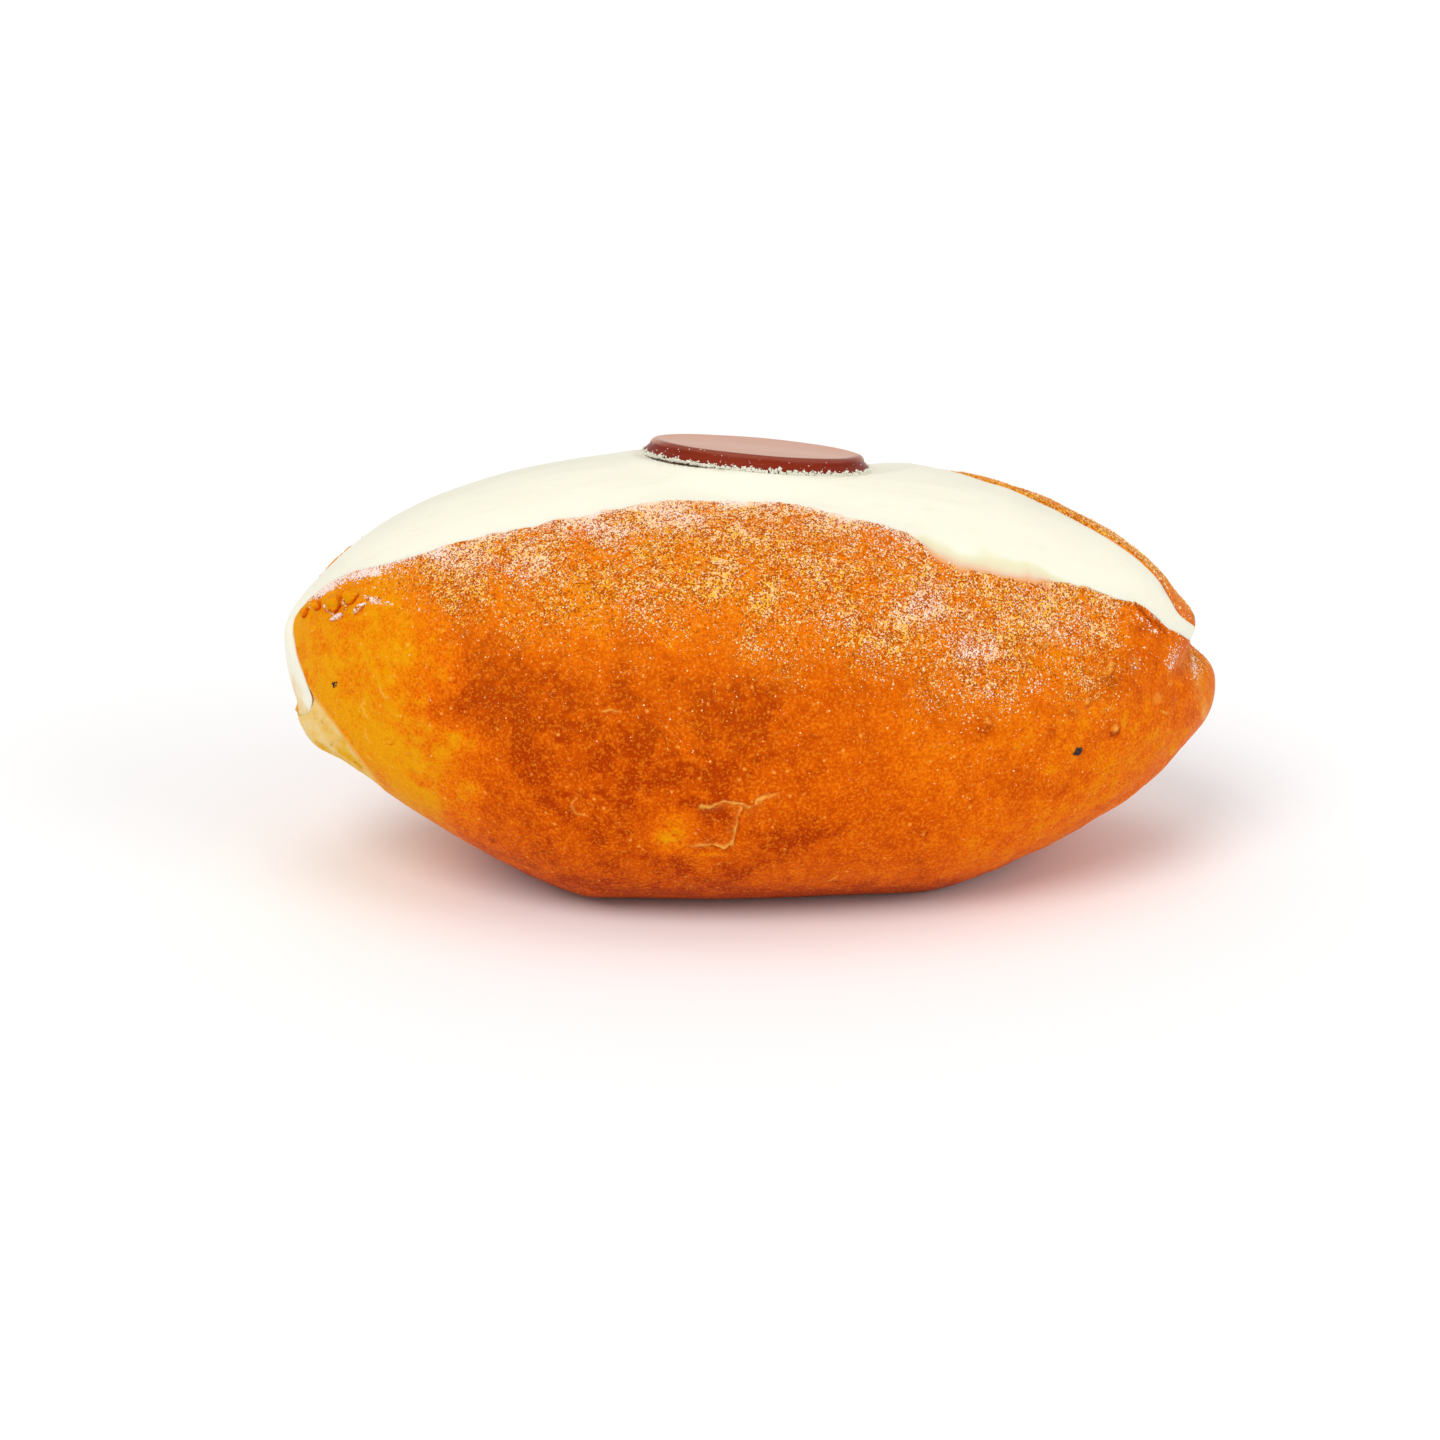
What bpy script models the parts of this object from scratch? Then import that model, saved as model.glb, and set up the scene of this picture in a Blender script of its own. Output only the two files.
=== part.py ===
"""Cream bun: a lens-shaped brioche split along its top, filled with whipped cream and
topped with one chocolate disc.

The bun lies along X, its split opens upward and it rests on z = 0. All sizes below are in
millimetres, and each mesh is turned into metres when its object is made.
"""
import bmesh
import bpy
import numpy as np

MM = 0.001
GAP = 0.35               # clearance between pieces that touch

# Outer shape of the bun
LENGTH = 140.1
HALF_WIDTH = 37.0
HEIGHT = 62.6
TOP_SLOPE = -2.1         # the back falls toward the right end
PLAN_POWER, PLAN_FULLNESS = 1.9, 0.563
TOP_POWER, TOP_FULLNESS = 2.62, 0.617
TIP_TOP = (35.1, 31.1)   # height of the upper line at the left and the right tip
KEEL_START = 0.36        # share of the half length that lies flat on the table
KEEL_RISE = (26.4, 18.3)
KEEL_FLICK = (0.5, 5.5)
WAIST = 0.41             # level of the widest line, as a share of the height
FLAT = 2.0               # how much of the round belly the flat base cuts away
ROUND_UP, ROUND_DOWN = 2.1, 2.4

# Split: section planes lean toward its two ends, and two lips leave it open. Each lip is
# given by its share of the split's length and its angle in degrees from the upright.
LEAN_LEFT = (1.0, 0.3, 0.7)
LEAN_RIGHT = (1.0, -0.1, 0.4)
LEAN_REACH = 0.28
SPLIT_DEPTH = 14.0       # how far the bottom of the split sags below the line of its ends
NEAR_LIP = ((0, 70), (0.043, 47), (0.05, 35), (0.065, 12), (0.08, 1), (0.121, 9.7),
            (0.2, 19.5), (0.257, 19.6), (0.42, 16.7), (0.503, 17.6), (0.654, 25.4),
            (0.684, 31.2), (0.722, 34.3), (0.884, 38.7), (0.956, 52.3), (0.981, 74), (1, 85))
FAR_LIP = ((0, -25), (0.04, -15), (0.15, -13), (0.32, -26), (0.5, -31), (0.58, -29),
           (0.7, -13), (0.83, -4), (0.945, 0), (0.966, 8), (0.98, 23), (1, 55))

# Relief
FLAP_END = 0.0475        # the crust stops here at the left and pale crumb shows below it
FLAP_STEP = 0.9
# x, z, half width, half height and depth of each blister or dent on the near side
DENTS = ((-7.4, 18.5, 3.2, 3.0, -0.5), (1.0, 24.0, 3.0, 1.2, 0.3), (-26.6, 20.7, 1.6, 1.2, 0.3),
         (-55.5, 34.0, 2.5, 4.0, 0.3), (50.4, 31.0, 3.5, 5.0, 0.35), (-47.5, 24.0, 6.0, 5.0, -0.3))
PINCH = (69.0, 37.0, 6.0, 2.2)   # x, z, size and depth of the hollow where the split ends

# Chocolate disc
DISC_RADIUS = 17.2
DISC_TOP_RADIUS = 16.2
DISC_THICKNESS = 2.2
DISC_EDGE = 0.9
DISC_CENTRE = (1.1, 8.4, 60.6)
DISC_TILT_BACK = 9.4
DISC_TILT_SIDE = 5.6

# Mesh density
BUN_STATIONS = 60
OUTER_COLUMNS = 34
INNER_COLUMNS = 4
CREAM_STATIONS = 52
CREAM_COLUMNS = 12
DISC_SEGMENTS = 48


def smooth_line(points, x):
    """Monotone cubic through (x, value) pairs."""
    px, py = np.array(points, float).T
    step = np.diff(px)
    rise = np.diff(py) / step
    slope = np.zeros(len(px))
    same = rise[:-1] * rise[1:] > 0
    slope[1:-1][same] = 2 / (1 / rise[:-1][same] + 1 / rise[1:][same])
    k = np.clip(np.searchsorted(px, x, side="right") - 1, 0, len(px) - 2)
    u = (np.asarray(x) - px[k]) / step[k]
    return (py[k] * (1 + 2 * u) * (1 - u) ** 2 + py[k + 1] * u * u * (3 - 2 * u)
            + step[k] * (slope[k] * u * (1 - u) ** 2 + slope[k + 1] * u * u * (u - 1)))


def fade(x, start, end):
    u = np.clip((x - start) / (end - start), 0, 1)
    return u * u * (3 - 2 * u)


def unit(v):
    return v / np.linalg.norm(v, axis=-1, keepdims=True)


def side_mix(t, pair):
    w = 0.5 + 0.5 * np.tanh(6 * t)
    return pair[0] * (1 - w) + pair[1] * w


def bun_section(x):
    """Half width, keel, top line and waist level at x."""
    t = np.clip(2 * x / LENGTH, -0.999999, 0.999999)
    a = np.abs(t)
    width = HALF_WIDTH * (1 - a ** PLAN_POWER) ** PLAN_FULLNESS
    q = np.maximum(a - KEEL_START, 0) / (1 - KEEL_START)
    keel = side_mix(t, KEEL_RISE) * q ** 1.3 + side_mix(t, KEEL_FLICK) * q ** 5
    tip = side_mix(t, TIP_TOP)
    top = tip + (HEIGHT + TOP_SLOPE * t - tip) * (1 - a ** TOP_POWER) ** TOP_FULLNESS
    return width, keel, top, keel + (top - keel) * WAIST


def bun_level(p):
    """Below 1 inside the bun's outer shape and above 1 outside."""
    width, keel, top, waist = bun_section(p[..., 0])
    up = p[..., 2] >= waist
    height = np.where(up, top - waist, waist - keel + FLAT)
    power = np.where(up, ROUND_UP, ROUND_DOWN)
    level = (np.abs(p[..., 1]) / width) ** power + (np.abs(p[..., 2] - waist) / height) ** power
    return np.where(np.abs(p[..., 0]) < LENGTH / 2, level, 9.0)


def bun_reach(direction):
    """Point of the outer shape that lies farthest along a direction."""
    t = np.sin(np.linspace(-np.pi / 2, np.pi / 2, 601))[:, None]
    turn = np.linspace(-np.pi, np.pi, 721)[None, :]
    width, keel, top, waist = bun_section(t * LENGTH / 2)
    c, s = np.cos(turn), np.sin(turn)
    power = np.where(s >= 0, ROUND_UP, ROUND_DOWN)
    y = width * np.sign(c) * np.abs(c) ** (2 / power)
    height = np.where(s >= 0, top - waist, waist - keel + FLAT)
    z = waist + height * np.sign(s) * np.abs(s) ** (2 / power)
    points = np.stack(np.broadcast_arrays(t * LENGTH / 2, y, z), -1).reshape(-1, 3)
    return points[np.argmax(points @ np.array(direction))]


LEFT_END = bun_reach([-c for c in LEAN_LEFT])
RIGHT_END = bun_reach(LEAN_RIGHT)


def station(t):
    """Bottom of the split at share t of its length, and the axes of the section plane."""
    t = np.asarray(t, float)[..., None]
    start = (1 - t) * LEFT_END + t * RIGHT_END - 4 * t * (1 - t) * np.array([0, 0, SPLIT_DEPTH])
    left = fade(1 - t / LEAN_REACH, 0, 1)
    right = fade(1 - (1 - t) / LEAN_REACH, 0, 1)
    along = np.array([1.0, 0, 0])
    n = unit(along + left * (np.array(LEAN_LEFT) - along) + right * (np.array(LEAN_RIGHT) - along))
    up = unit(np.array([0, 0, 1.0]) - n * n[..., 2:3])
    return start, n, up, np.cross(n, up)


def reach(start, direction):
    """Distance from start to the outer shape, by bisection."""
    low = np.zeros(direction.shape[:-1])
    high = np.full(direction.shape[:-1], 120.0)
    for _ in range(40):
        mid = (low + high) / 2
        inside = bun_level(start + direction * mid[..., None]) < 1
        low = np.where(inside, mid, low)
        high = np.where(inside, high, mid)
    return low


def swell(p):
    """Slow unevenness of the dough."""
    rng = np.random.default_rng(7)
    total = np.zeros(p.shape[:-1])
    for wavelength, size in ((58, 0.14), (47, 0.12), (36, 0.1), (31, 0.1), (24, 0.07), (19, 0.05)):
        wave = unit(rng.normal(size=3)) * 2 * np.pi / wavelength
        total += size * np.sin(p @ wave + rng.uniform(0, 6.28))
    return total


def crust_relief(p, t, angle):
    """Height of the crust over the outer shape, in mm."""
    ends = fade(t, 0, 0.05) * fade(1 - t, 0, 0.05)
    height = swell(p) * (0.3 + 0.7 * ends)
    sides = 1 - fade(np.abs((angle + 180) % 360 - 180), 110, 150)
    flap = fade(t, FLAP_END - 0.003, FLAP_END + 0.003)
    height += FLAP_STEP * sides * (0.55 * flap * (1 - fade(t, 0.05, 0.12)) - 0.45 * (1 - flap))
    near = (p[..., 1] < 0)
    for x, z, wide, tall, size in DENTS:
        spot = ((p[..., 0] - x) / wide) ** 2 + ((p[..., 2] - z) / tall) ** 2
        height += size * near * np.exp(-spot ** 2)
    return height


def pinch(p):
    """Draw the right end in where the two halves meet."""
    x, z, size, depth = PINCH
    away = ((p[..., 0] - x) ** 2 + (p[..., 2] - z) ** 2) / size ** 2
    return p - np.array([depth, 0, 0]) * np.exp(-away)[..., None]


def flatten(p, soft=0.6):
    """Rest the underside on z = 0 with a soft edge."""
    z = p[..., 2]
    p[..., 2] = np.where(np.abs(z) < soft, (z + soft) ** 2 / (4 * soft), np.maximum(z, 0))
    return p


def spread(start, end, share):
    return start + (end - start) * share


def bun_ring_points():
    """Rings of points from the near lip, under the bun, to the far lip and down the split."""
    t = (1 - np.cos(np.pi * np.linspace(0, 1, BUN_STATIONS + 2)[1:-1])) / 2
    start, _, up, side = station(t)
    share = np.linspace(0, 1, OUTER_COLUMNS)
    near, far = smooth_line(NEAR_LIP, t)[:, None], smooth_line(FAR_LIP, t)[:, None] + 360
    angle = spread(near, far, share - 0.03 * np.sin(4 * np.pi * share))
    turn = np.radians(angle)[..., None]
    direction = up[:, None] * np.cos(turn) + side[:, None] * np.sin(turn)
    origin = np.broadcast_to(start[:, None], direction.shape)
    radius = reach(origin, direction)
    outer = origin + direction * radius[..., None]
    relief = np.maximum(crust_relief(outer, t[:, None], angle), -0.3 * radius)
    outer = outer + direction * relief[..., None]
    outer = flatten(outer)
    steps = np.linspace(0, 1, INNER_COLUMNS + 1)[1:, None]
    down = spread(outer[:, -1:], start[:, None], steps)
    rise = spread(start[:, None], outer[:, :1], steps[:-1])
    return pinch(np.concatenate([outer, down, rise], 1))


def seat(points):
    """Press the cream flat under the disc, and let it rise to meet the disc's edge."""
    centre, axes = disc_frame()
    local = (points - centre) @ axes.T
    distance = np.linalg.norm(local[..., :2], axis=-1) / DISC_RADIUS
    under = 1 - fade(distance, 0.95, 1.35)
    level = local[..., 2] * (1 - under) - GAP * under
    bank = 0.6 * DISC_RADIUS * np.maximum(distance - 1.04, 0)
    local[..., 2] = np.minimum(level, bank - GAP)
    return centre + local @ axes


def cream_ring_points():
    """Rings of points round the cream: its top from lip to lip, then its two cut faces."""
    t = (1 - np.cos(np.pi * np.linspace(0.1, 0.93, CREAM_STATIONS))) / 2
    start, _, up, side = station(t)
    near, far = smooth_line(NEAR_LIP, t)[:, None], smooth_line(FAR_LIP, t)[:, None]
    share = np.linspace(0, 1, CREAM_COLUMNS)
    angle = spread(near, far, share)
    turn = np.radians(angle)[..., None]
    direction = up[:, None] * np.cos(turn) + side[:, None] * np.sin(turn)
    origin = np.broadcast_to(start[:, None], direction.shape)
    radius = reach(origin, direction)
    middle = np.sin(np.pi * share)
    dome = 0.8 * np.exp(-((t - 0.48) / 0.15) ** 2)[:, None] * middle
    dome = dome + 0.6 * (1 - fade(t, 0.06, 0.14))[:, None] * middle
    dome = dome - 0.6 * fade(t, 0.68, 0.78)[:, None] * share
    radius = radius - 0.2 + dome
    steps = np.linspace(1, 0, INNER_COLUMNS + 1)[1:]
    apex = GAP / np.sin(np.radians((near - far) / 2))
    down = spread(apex, radius[:, -1:], steps)
    rise = spread(apex, radius[:, :1], steps[::-1][1:])
    all_radius = np.concatenate([radius, down, rise], 1)
    # the cream stands back from both cut faces by the gap
    lead = np.degrees(np.arcsin(np.minimum(GAP / all_radius, 1)))
    faces = [np.repeat(far, down.shape[1], 1), np.repeat(near, rise.shape[1], 1)]
    left = np.concatenate([angle] + faces, 1)
    left = np.clip(left, far + lead, near - lead)
    left = np.where(near - far < 2 * lead, (near + far) / 2, left)
    turn = np.radians(left)[..., None]
    direction = up[:, None] * np.cos(turn) + side[:, None] * np.sin(turn)
    points = pinch(start[:, None] + direction * all_radius[..., None])
    points[:, :CREAM_COLUMNS] = seat(points[:, :CREAM_COLUMNS])
    return points


def disc_frame():
    """Centre of the disc's underside and its axes as rows: two across it, one out of it."""
    back, side = np.radians(DISC_TILT_BACK), np.radians(DISC_TILT_SIDE)
    across = np.array([np.cos(side), 0, -np.sin(side)])
    out = unit(np.array([np.sin(side), np.tan(back), np.cos(side)]))
    across = unit(across - out * (across @ out))
    return np.array(DISC_CENTRE), np.array([across, np.cross(out, across), out])


def disc_profile():
    """Radius and height pairs from the middle of the underside to the middle of the top."""
    inner, lower = DISC_TOP_RADIUS - DISC_EDGE, DISC_THICKNESS - DISC_EDGE
    rim = [(inner + DISC_EDGE * np.sin(a), lower + DISC_EDGE * np.cos(a))
           for a in np.radians((80, 60, 40, 20, 0))]
    under = [(9.0, 0.0), (DISC_RADIUS - 0.3, 0.0), (DISC_RADIUS, 0.3)]
    return under + rim + [(9.0, DISC_THICKNESS)]


def mesh_object(name, points, faces, material):
    mesh = bpy.data.meshes.new(name)
    mesh.from_pydata([tuple(p) for p in np.asarray(points) * MM], [], faces)
    build = bmesh.new()
    build.from_mesh(mesh)
    bmesh.ops.triangulate(build, faces=build.faces, quad_method="SHORT_EDGE")
    bmesh.ops.recalc_face_normals(build, faces=build.faces)
    build.to_mesh(mesh)
    build.free()
    mesh.materials.append(material)
    thing = bpy.data.objects.new(name, mesh)
    bpy.context.scene.collection.objects.link(thing)
    return thing


def rings_to_faces(count, width):
    faces = []
    for i in range(count - 1):
        for j in range(width):
            k = (j + 1) % width
            faces.append((i * width + j, i * width + k, (i + 1) * width + k, (i + 1) * width + j))
    return faces


def capped_rings(rings, first, last):
    """Close a run of rings with one point at each end."""
    count, width = rings.shape[:2]
    points = np.concatenate([rings.reshape(-1, 3), [first, last]])
    faces = rings_to_faces(count, width)
    a, b = count * width, count * width + 1
    tail = (count - 1) * width
    for j in range(width):
        k = (j + 1) % width
        faces.append((k, j, a))
        faces.append((tail + j, tail + k, b))
    return points, faces


def plain_material(name, colour, roughness):
    material = bpy.data.materials.new(name)
    material.use_nodes = True
    shader = material.node_tree.nodes["Principled BSDF"]
    shader.inputs["Base Color"].default_value = (*colour, 1)
    shader.inputs["Roughness"].default_value = roughness
    shader.inputs["Metallic"].default_value = 0.0
    return material


def main():
    for thing in list(bpy.data.objects):
        bpy.data.objects.remove(thing)

    crust = plain_material("crust", (0.62, 0.2, 0.025), 0.5)
    cream = plain_material("cream", (0.9, 0.86, 0.72), 0.45)
    chocolate = plain_material("chocolate", (0.2, 0.06, 0.03), 0.3)

    rings = bun_ring_points()
    points, faces = capped_rings(rings, rings[0].mean(0), rings[-1].mean(0))
    mesh_object("bun", points, faces, crust)

    rings = cream_ring_points()
    points, faces = capped_rings(rings, rings[0].mean(0), rings[-1].mean(0))
    mesh_object("cream", points, faces, cream)

    centre, axes = disc_frame()
    turn = np.linspace(0, 2 * np.pi, DISC_SEGMENTS, endpoint=False)
    rings = np.array([[(r * np.cos(a), r * np.sin(a), h) for a in turn] for r, h in disc_profile()])
    points, faces = capped_rings(rings, (0, 0, 0), (0, 0, DISC_THICKNESS))
    mesh_object("chocolate_disc", centre + points @ axes, faces, chocolate)


main()
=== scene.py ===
"""Looks of the cream bun: baked crust, whipped cream, chocolate disc and icing sugar.

Shapes are worked out in millimetres and turned into metres when a mesh is made.
"""
import math

import bpy
import numpy as np
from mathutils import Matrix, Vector
from mathutils.bvhtree import BVHTree


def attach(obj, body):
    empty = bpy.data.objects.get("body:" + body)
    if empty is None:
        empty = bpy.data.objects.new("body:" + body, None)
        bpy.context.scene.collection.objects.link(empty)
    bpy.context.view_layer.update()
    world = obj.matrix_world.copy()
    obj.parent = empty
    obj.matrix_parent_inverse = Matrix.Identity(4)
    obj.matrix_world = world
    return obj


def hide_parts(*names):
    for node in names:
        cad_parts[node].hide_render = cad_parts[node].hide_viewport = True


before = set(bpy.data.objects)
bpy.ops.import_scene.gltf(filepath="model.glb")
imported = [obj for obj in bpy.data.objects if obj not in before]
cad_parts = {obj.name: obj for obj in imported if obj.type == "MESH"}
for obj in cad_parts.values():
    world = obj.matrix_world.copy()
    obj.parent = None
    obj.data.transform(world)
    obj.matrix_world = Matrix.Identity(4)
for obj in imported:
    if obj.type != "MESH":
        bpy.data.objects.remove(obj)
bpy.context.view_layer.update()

MM = 0.001
RNG = np.random.default_rng(11)

# Outer shape of the bun, with the same values as the solids
LENGTH = 140.1
HALF_WIDTH = 37.0
HEIGHT = 62.6
TOP_SLOPE = -2.1
PLAN_POWER, PLAN_FULLNESS = 1.9, 0.563
TOP_POWER, TOP_FULLNESS = 2.62, 0.617
TIP_TOP = (35.1, 31.1)
KEEL_START = 0.36
KEEL_RISE = (26.4, 18.3)
KEEL_FLICK = (0.5, 5.5)
WAIST = 0.41
FLAT = 2.0
ROUND_UP, ROUND_DOWN = 2.1, 2.4

# The split: which way its end sections lean, how far in the lean reaches, and its depth under the line of the ends
LEAN_LEFT = (1.0, 0.3, 0.7)
LEAN_RIGHT = (1.0, -0.1, 0.4)
LEAN_REACH = 0.28
SPLIT_DEPTH = 14.0
# Its two lips: share of its length, and turn from straight up in degrees, positive to the near side
NEAR_LIP = ((0, 70), (0.043, 47), (0.05, 35), (0.065, 12), (0.082, -1), (0.1, 1.2), (0.121, 6), (0.14, 10.5),
            (0.16, 15.6), (0.2, 19.8), (0.257, 19.6), (0.42, 16.7), (0.503, 17.6), (0.654, 25.4),
            (0.684, 31.2), (0.722, 34.3), (0.884, 39.6), (0.92, 43.6), (0.95, 47.2), (0.962, 53.6),
            (0.968, 59.0), (0.975, 62.2), (0.981, 66.6), (0.985, 70), (0.99, 73.7), (0.994, 77.5), (1, 84))
FAR_LIP = ((0, -25), (0.04, -15), (0.15, -13), (0.32, -26), (0.5, -31), (0.62, -28), (0.71, -20), (0.74, -13),
           (0.76, -9), (0.8, -7.5), (0.82, -6.8), (0.85, -4.6), (0.88, -1.4), (0.92, 3.0), (0.956, 8.4), (0.966, 13),
           (0.975, 20), (0.981, 34), (0.985, 47), (0.99, 52), (1, 56))

# Where the torn end stops, as a share of the length, and the step up to the crust in mm
FLAP_END = 0.0475
FLAP_STEP = 0.9
# Broad swells and dents of the near side: x, z, half width, half height and height in mm
DENTS = ((-55.5, 34.0, 2.5, 4.0, 0.3), (50.4, 31.0, 3.5, 5.0, 0.35), (-47.5, 24.0, 6.0, 5.0, -0.3))
# How the right end is drawn in and out: x, z, half width, half height and the move, in mm
RIGHT_SHAPE = ((69.0, 33.3, 6.0, 2.8, -3.1), (68.0, 41.6, 5.0, 3.2, -0.9), (70.0, 26.5, 6.0, 4.5, 0.9))
# Nick and sagging crumb at the left end: place, reach and move
NICK = ((-70.2, -1.0, 25.0), 3.0, (0.9, 0.2, 0))
SAG = ((-66.8, -7.0, 21.5), 4.2, (-0.9, -0.2, -1.0))
# Softness of the edge of the flat foot
FOOT_EDGE = 0.6

# The disc, with the middle of its underside and its tilts in degrees
DISC_RADIUS = 17.2
DISC_TOP_RADIUS = 16.2
DISC_THICKNESS = 2.2
DISC_EDGE = 0.9
DISC_CENTRE = (1.1, 8.4, 60.38)
DISC_TILT_BACK = 9.4
DISC_TILT_SIDE = 5.6

# Blisters on the near side: x, z, half width, half height, lean, height in mm
BLISTERS = ((50.6, 36.3, 0.6, 1.0, 0.45, 0.6), (46.9, 32.4, 0.45, 0.6, 0.1, 0.45), (31.8, 31.9, 0.5, 0.65, -0.4, 0.3),
            (51.6, 27.4, 0.6, 0.7, 0.2, 0.55), (47.4, 37.0, 0.4, 0.6, -0.2, 0.3), (-44.9, 38.0, 0.5, 0.45, 0, 0.25),
            (-54.9, 27.6, 0.3, 0.28, 0, 0.2), (-54.2, 26.9, 0.34, 0.3, 0, 0.25), (-53.6, 27.7, 0.28, 0.3, 0, 0.2),
            (-55.0, 26.6, 0.25, 0.25, 0, 0.15), (22.5, 15.5, 0.4, 0.38, 0.3, 0.25), (39.5, 15.6, 0.35, 0.35, 0, 0.2),
            (-43.8, 13.6, 0.4, 0.36, 0, 0.2), (-39.9, 12.0, 0.3, 0.3, 0, 0.18), (27.8, 29.4, 0.35, 0.35, 0, 0.2))
# Thin raised lines as x and z along them
STREAKS = (((-55.4, 35.4), (-55.3, 34.5), (-54.8, 33.9), (-54.0, 33.9)), ((-57.9, 32.7), (-58.1, 31.5), (-57.4, 29.9)),
           ((-57.9, 28.3), (-57.7, 27.0), (-57.1, 25.9)), ((-23.8, 35.1), (-22.6, 35.5), (-21.2, 35.3)),
           ((39.0, 41.6), (41.0, 41.2), (43.4, 41.0)), ((45.0, 40.2), (47.0, 39.6), (49.0, 39.5)),
           ((8.9, 7.2), (9.8, 7.7), (10.3, 8.5)), ((6.5, 12.6), (7.1, 11.9)), ((59.3, 28.2), (60.6, 27.4)))
# Lumps of dough gathered at the ends of the near lip: x, z, three half sizes in mm, slope in degrees, sugar on it
FOLDS = ((-61.8, 44.6, 1.35, 1.6, 1.2, 20, 0.0), (-59.3, 46.0, 1.2, 1.4, 0.75, 30, 0.0),
         (-64.7, 43.4, 0.75, 1.2, 0.95, 60, 0.0), (-66.6, 41.8, 0.8, 0.8, 0.5, 35, 0.0),
         (-61.6, 43.1, 1.3, 0.7, 0.3, 8, 0.8), (-58.2, 45.1, 1.3, 0.7, 0.35, 30, 0.7),
         (-63.3, 43.7, 0.35, 0.6, 0.8, 0, 0.6), (-60.4, 45.0, 0.4, 0.7, 0.9, 10, 0.5),
         (56.6, 42.7, 2.2, 0.4, 0.3, -38, 0.1), (59.3, 40.2, 1.8, 0.4, 0.3, -48, 0.1))
# Edges of the torn flake as x and z, and how far each stands up
FLAKE_TOP = ((-10.2, 21.7), (-8.7, 21.6), (-7.3, 22.4), (-5.7, 22.3), (-4.0, 22.1), (-3.1, 21.5),
             (-2.2, 21.8), (-1.8, 22.8), (-0.8, 23.2), (1.5, 23.8))
FLAKE_SIDE = ((-4.0, 22.1), (-4.5, 20.2), (-4.9, 18.4), (-5.0, 16.9), (-5.5, 15.6), (-6.3, 15.0), (-8.0, 15.3),
              (-9.6, 15.3), (-10.9, 14.9))
# Low lumps of the dough towards the right end: x, z, half width, half height, lean, height in mm
SWELLINGS = ((56.8, 43.0, 2.6, 1.2, -0.6, 0.5), (57.5, 39.8, 3.0, 1.0, -0.4, -0.25),
             (60.8, 35.5, 2.6, 2.4, 0, 0.3), (65.0, 30.5, 1.6, 2.6, 0, 0.35), (62.5, 31.0, 1.2, 2.2, 0, -0.2),
             (54.0, 33.0, 2.6, 2.2, 0, 0.2), (49.5, 33.3, 1.8, 1.5, 0, -0.25), (50.8, 27.3, 1.8, 1.6, 0, -0.12),
             (38.0, 31.0, 4.0, 3.0, 0, 0.18), (44.0, 20.0, 3.5, 2.6, 0, -0.15), (54.5, 24.0, 3.0, 2.6, 0, 0.2))
# Where the crust is browner (positive) or paler (negative) than around it, laid out the same way
PATCHES = ((-19.0, 47.5, 4.0, 4.0, 0, 0.3), (-9.0, 38.5, 3.6, 2.6, 0, 0.25), (-18.0, 26.0, 5.0, 2.6, 0, 0.25),
           (-6.5, 26.5, 4.5, 2.0, 0, 0.2), (-31.0, 48.0, 3.5, 1.8, 0, 0.15), (35.0, 22.5, 6.0, 2.6, 0, 0.22),
           (42.5, 20.5, 5.0, 2.2, 0, 0.2), (50.0, 33.5, 2.2, 2.0, 0, 0.35), (50.9, 27.0, 1.7, 1.5, 0, 0.35),
           (56.5, 40.8, 3.0, 1.1, -0.3, 0.3), (62.8, 31.0, 1.4, 3.0, 0, 0.25), (24.5, 48.3, 4.5, 2.6, 0, 0.2),
           (4.5, 16.0, 5.0, 2.5, 0, 0.12), (31.0, 30.8, 2.2, 1.6, 0, 0.2), (-49.2, 20.7, 1.0, 0.5, 0, 0.55),
           (-13.0, 17.5, 2.8, 3.4, 0, -0.5), (-16.0, 15.5, 2.6, 2.0, 0, -0.3), (8.0, 17.0, 3.0, 1.4, 0, 0.2),
           (-11.0, 57.0, 4.5, 2.6, 0, -0.25), (-24.0, 47.5, 4.0, 4.5, 0, -0.25),
           (20.0, 33.0, 6.0, 2.4, 0, -0.12), (47.0, 44.0, 6.0, 3.0, 0, -0.15), (61.0, 35.5, 2.4, 2.6, 0, -0.12),
           (58.0, 22.0, 5.0, 5.0, 0, -0.1), (12.0, 14.0, 8.0, 3.0, 0, -0.1),
           # The small dark spots on this line and the next, among the blisters on the right, are painted shade beside
           # the blisters.
           (46.7, 37.0, 1.0, 0.9, 0, 0.4), (50.6, 34.6, 1.3, 0.9, 0, 0.45), (44.3, 31.6, 0.9, 1.0, 0, 0.4),
           (51.6, 26.6, 1.0, 0.7, 0, 0.45), (41.6, 28.9, 0.8, 1.2, 0, 0.35), (47.0, 30.6, 0.7, 0.5, 0, 0.3),
           (36.5, 30.0, 1.4, 1.0, 0, 0.25), (55.5, 31.5, 0.8, 1.2, 0, 0.25), (-5.0, 33.5, 1.2, 0.8, 0, 0.3),
           (1.0, 29.5, 1.6, 0.9, 0, 0.25), (-21.0, 37.0, 2.2, 1.4, 0, 0.2), (16.0, 27.0, 1.4, 0.9, 0, 0.2))
# Pale skin at the right end
PALE = ((68.0, 24.5, 0.7, 3.0, -0.25, 0.9), (66.5, 29.5, 0.9, 2.2, 0, 0.45), (64.0, 33.3, 1.2, 1.0, 0, 0.4),
        (58.7, 30.2, 0.8, 0.9, 0, 0.4), (54.8, 36.0, 0.9, 1.1, 0, 0.4), (62.0, 28.5, 0.8, 1.0, 0, 0.3))
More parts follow.
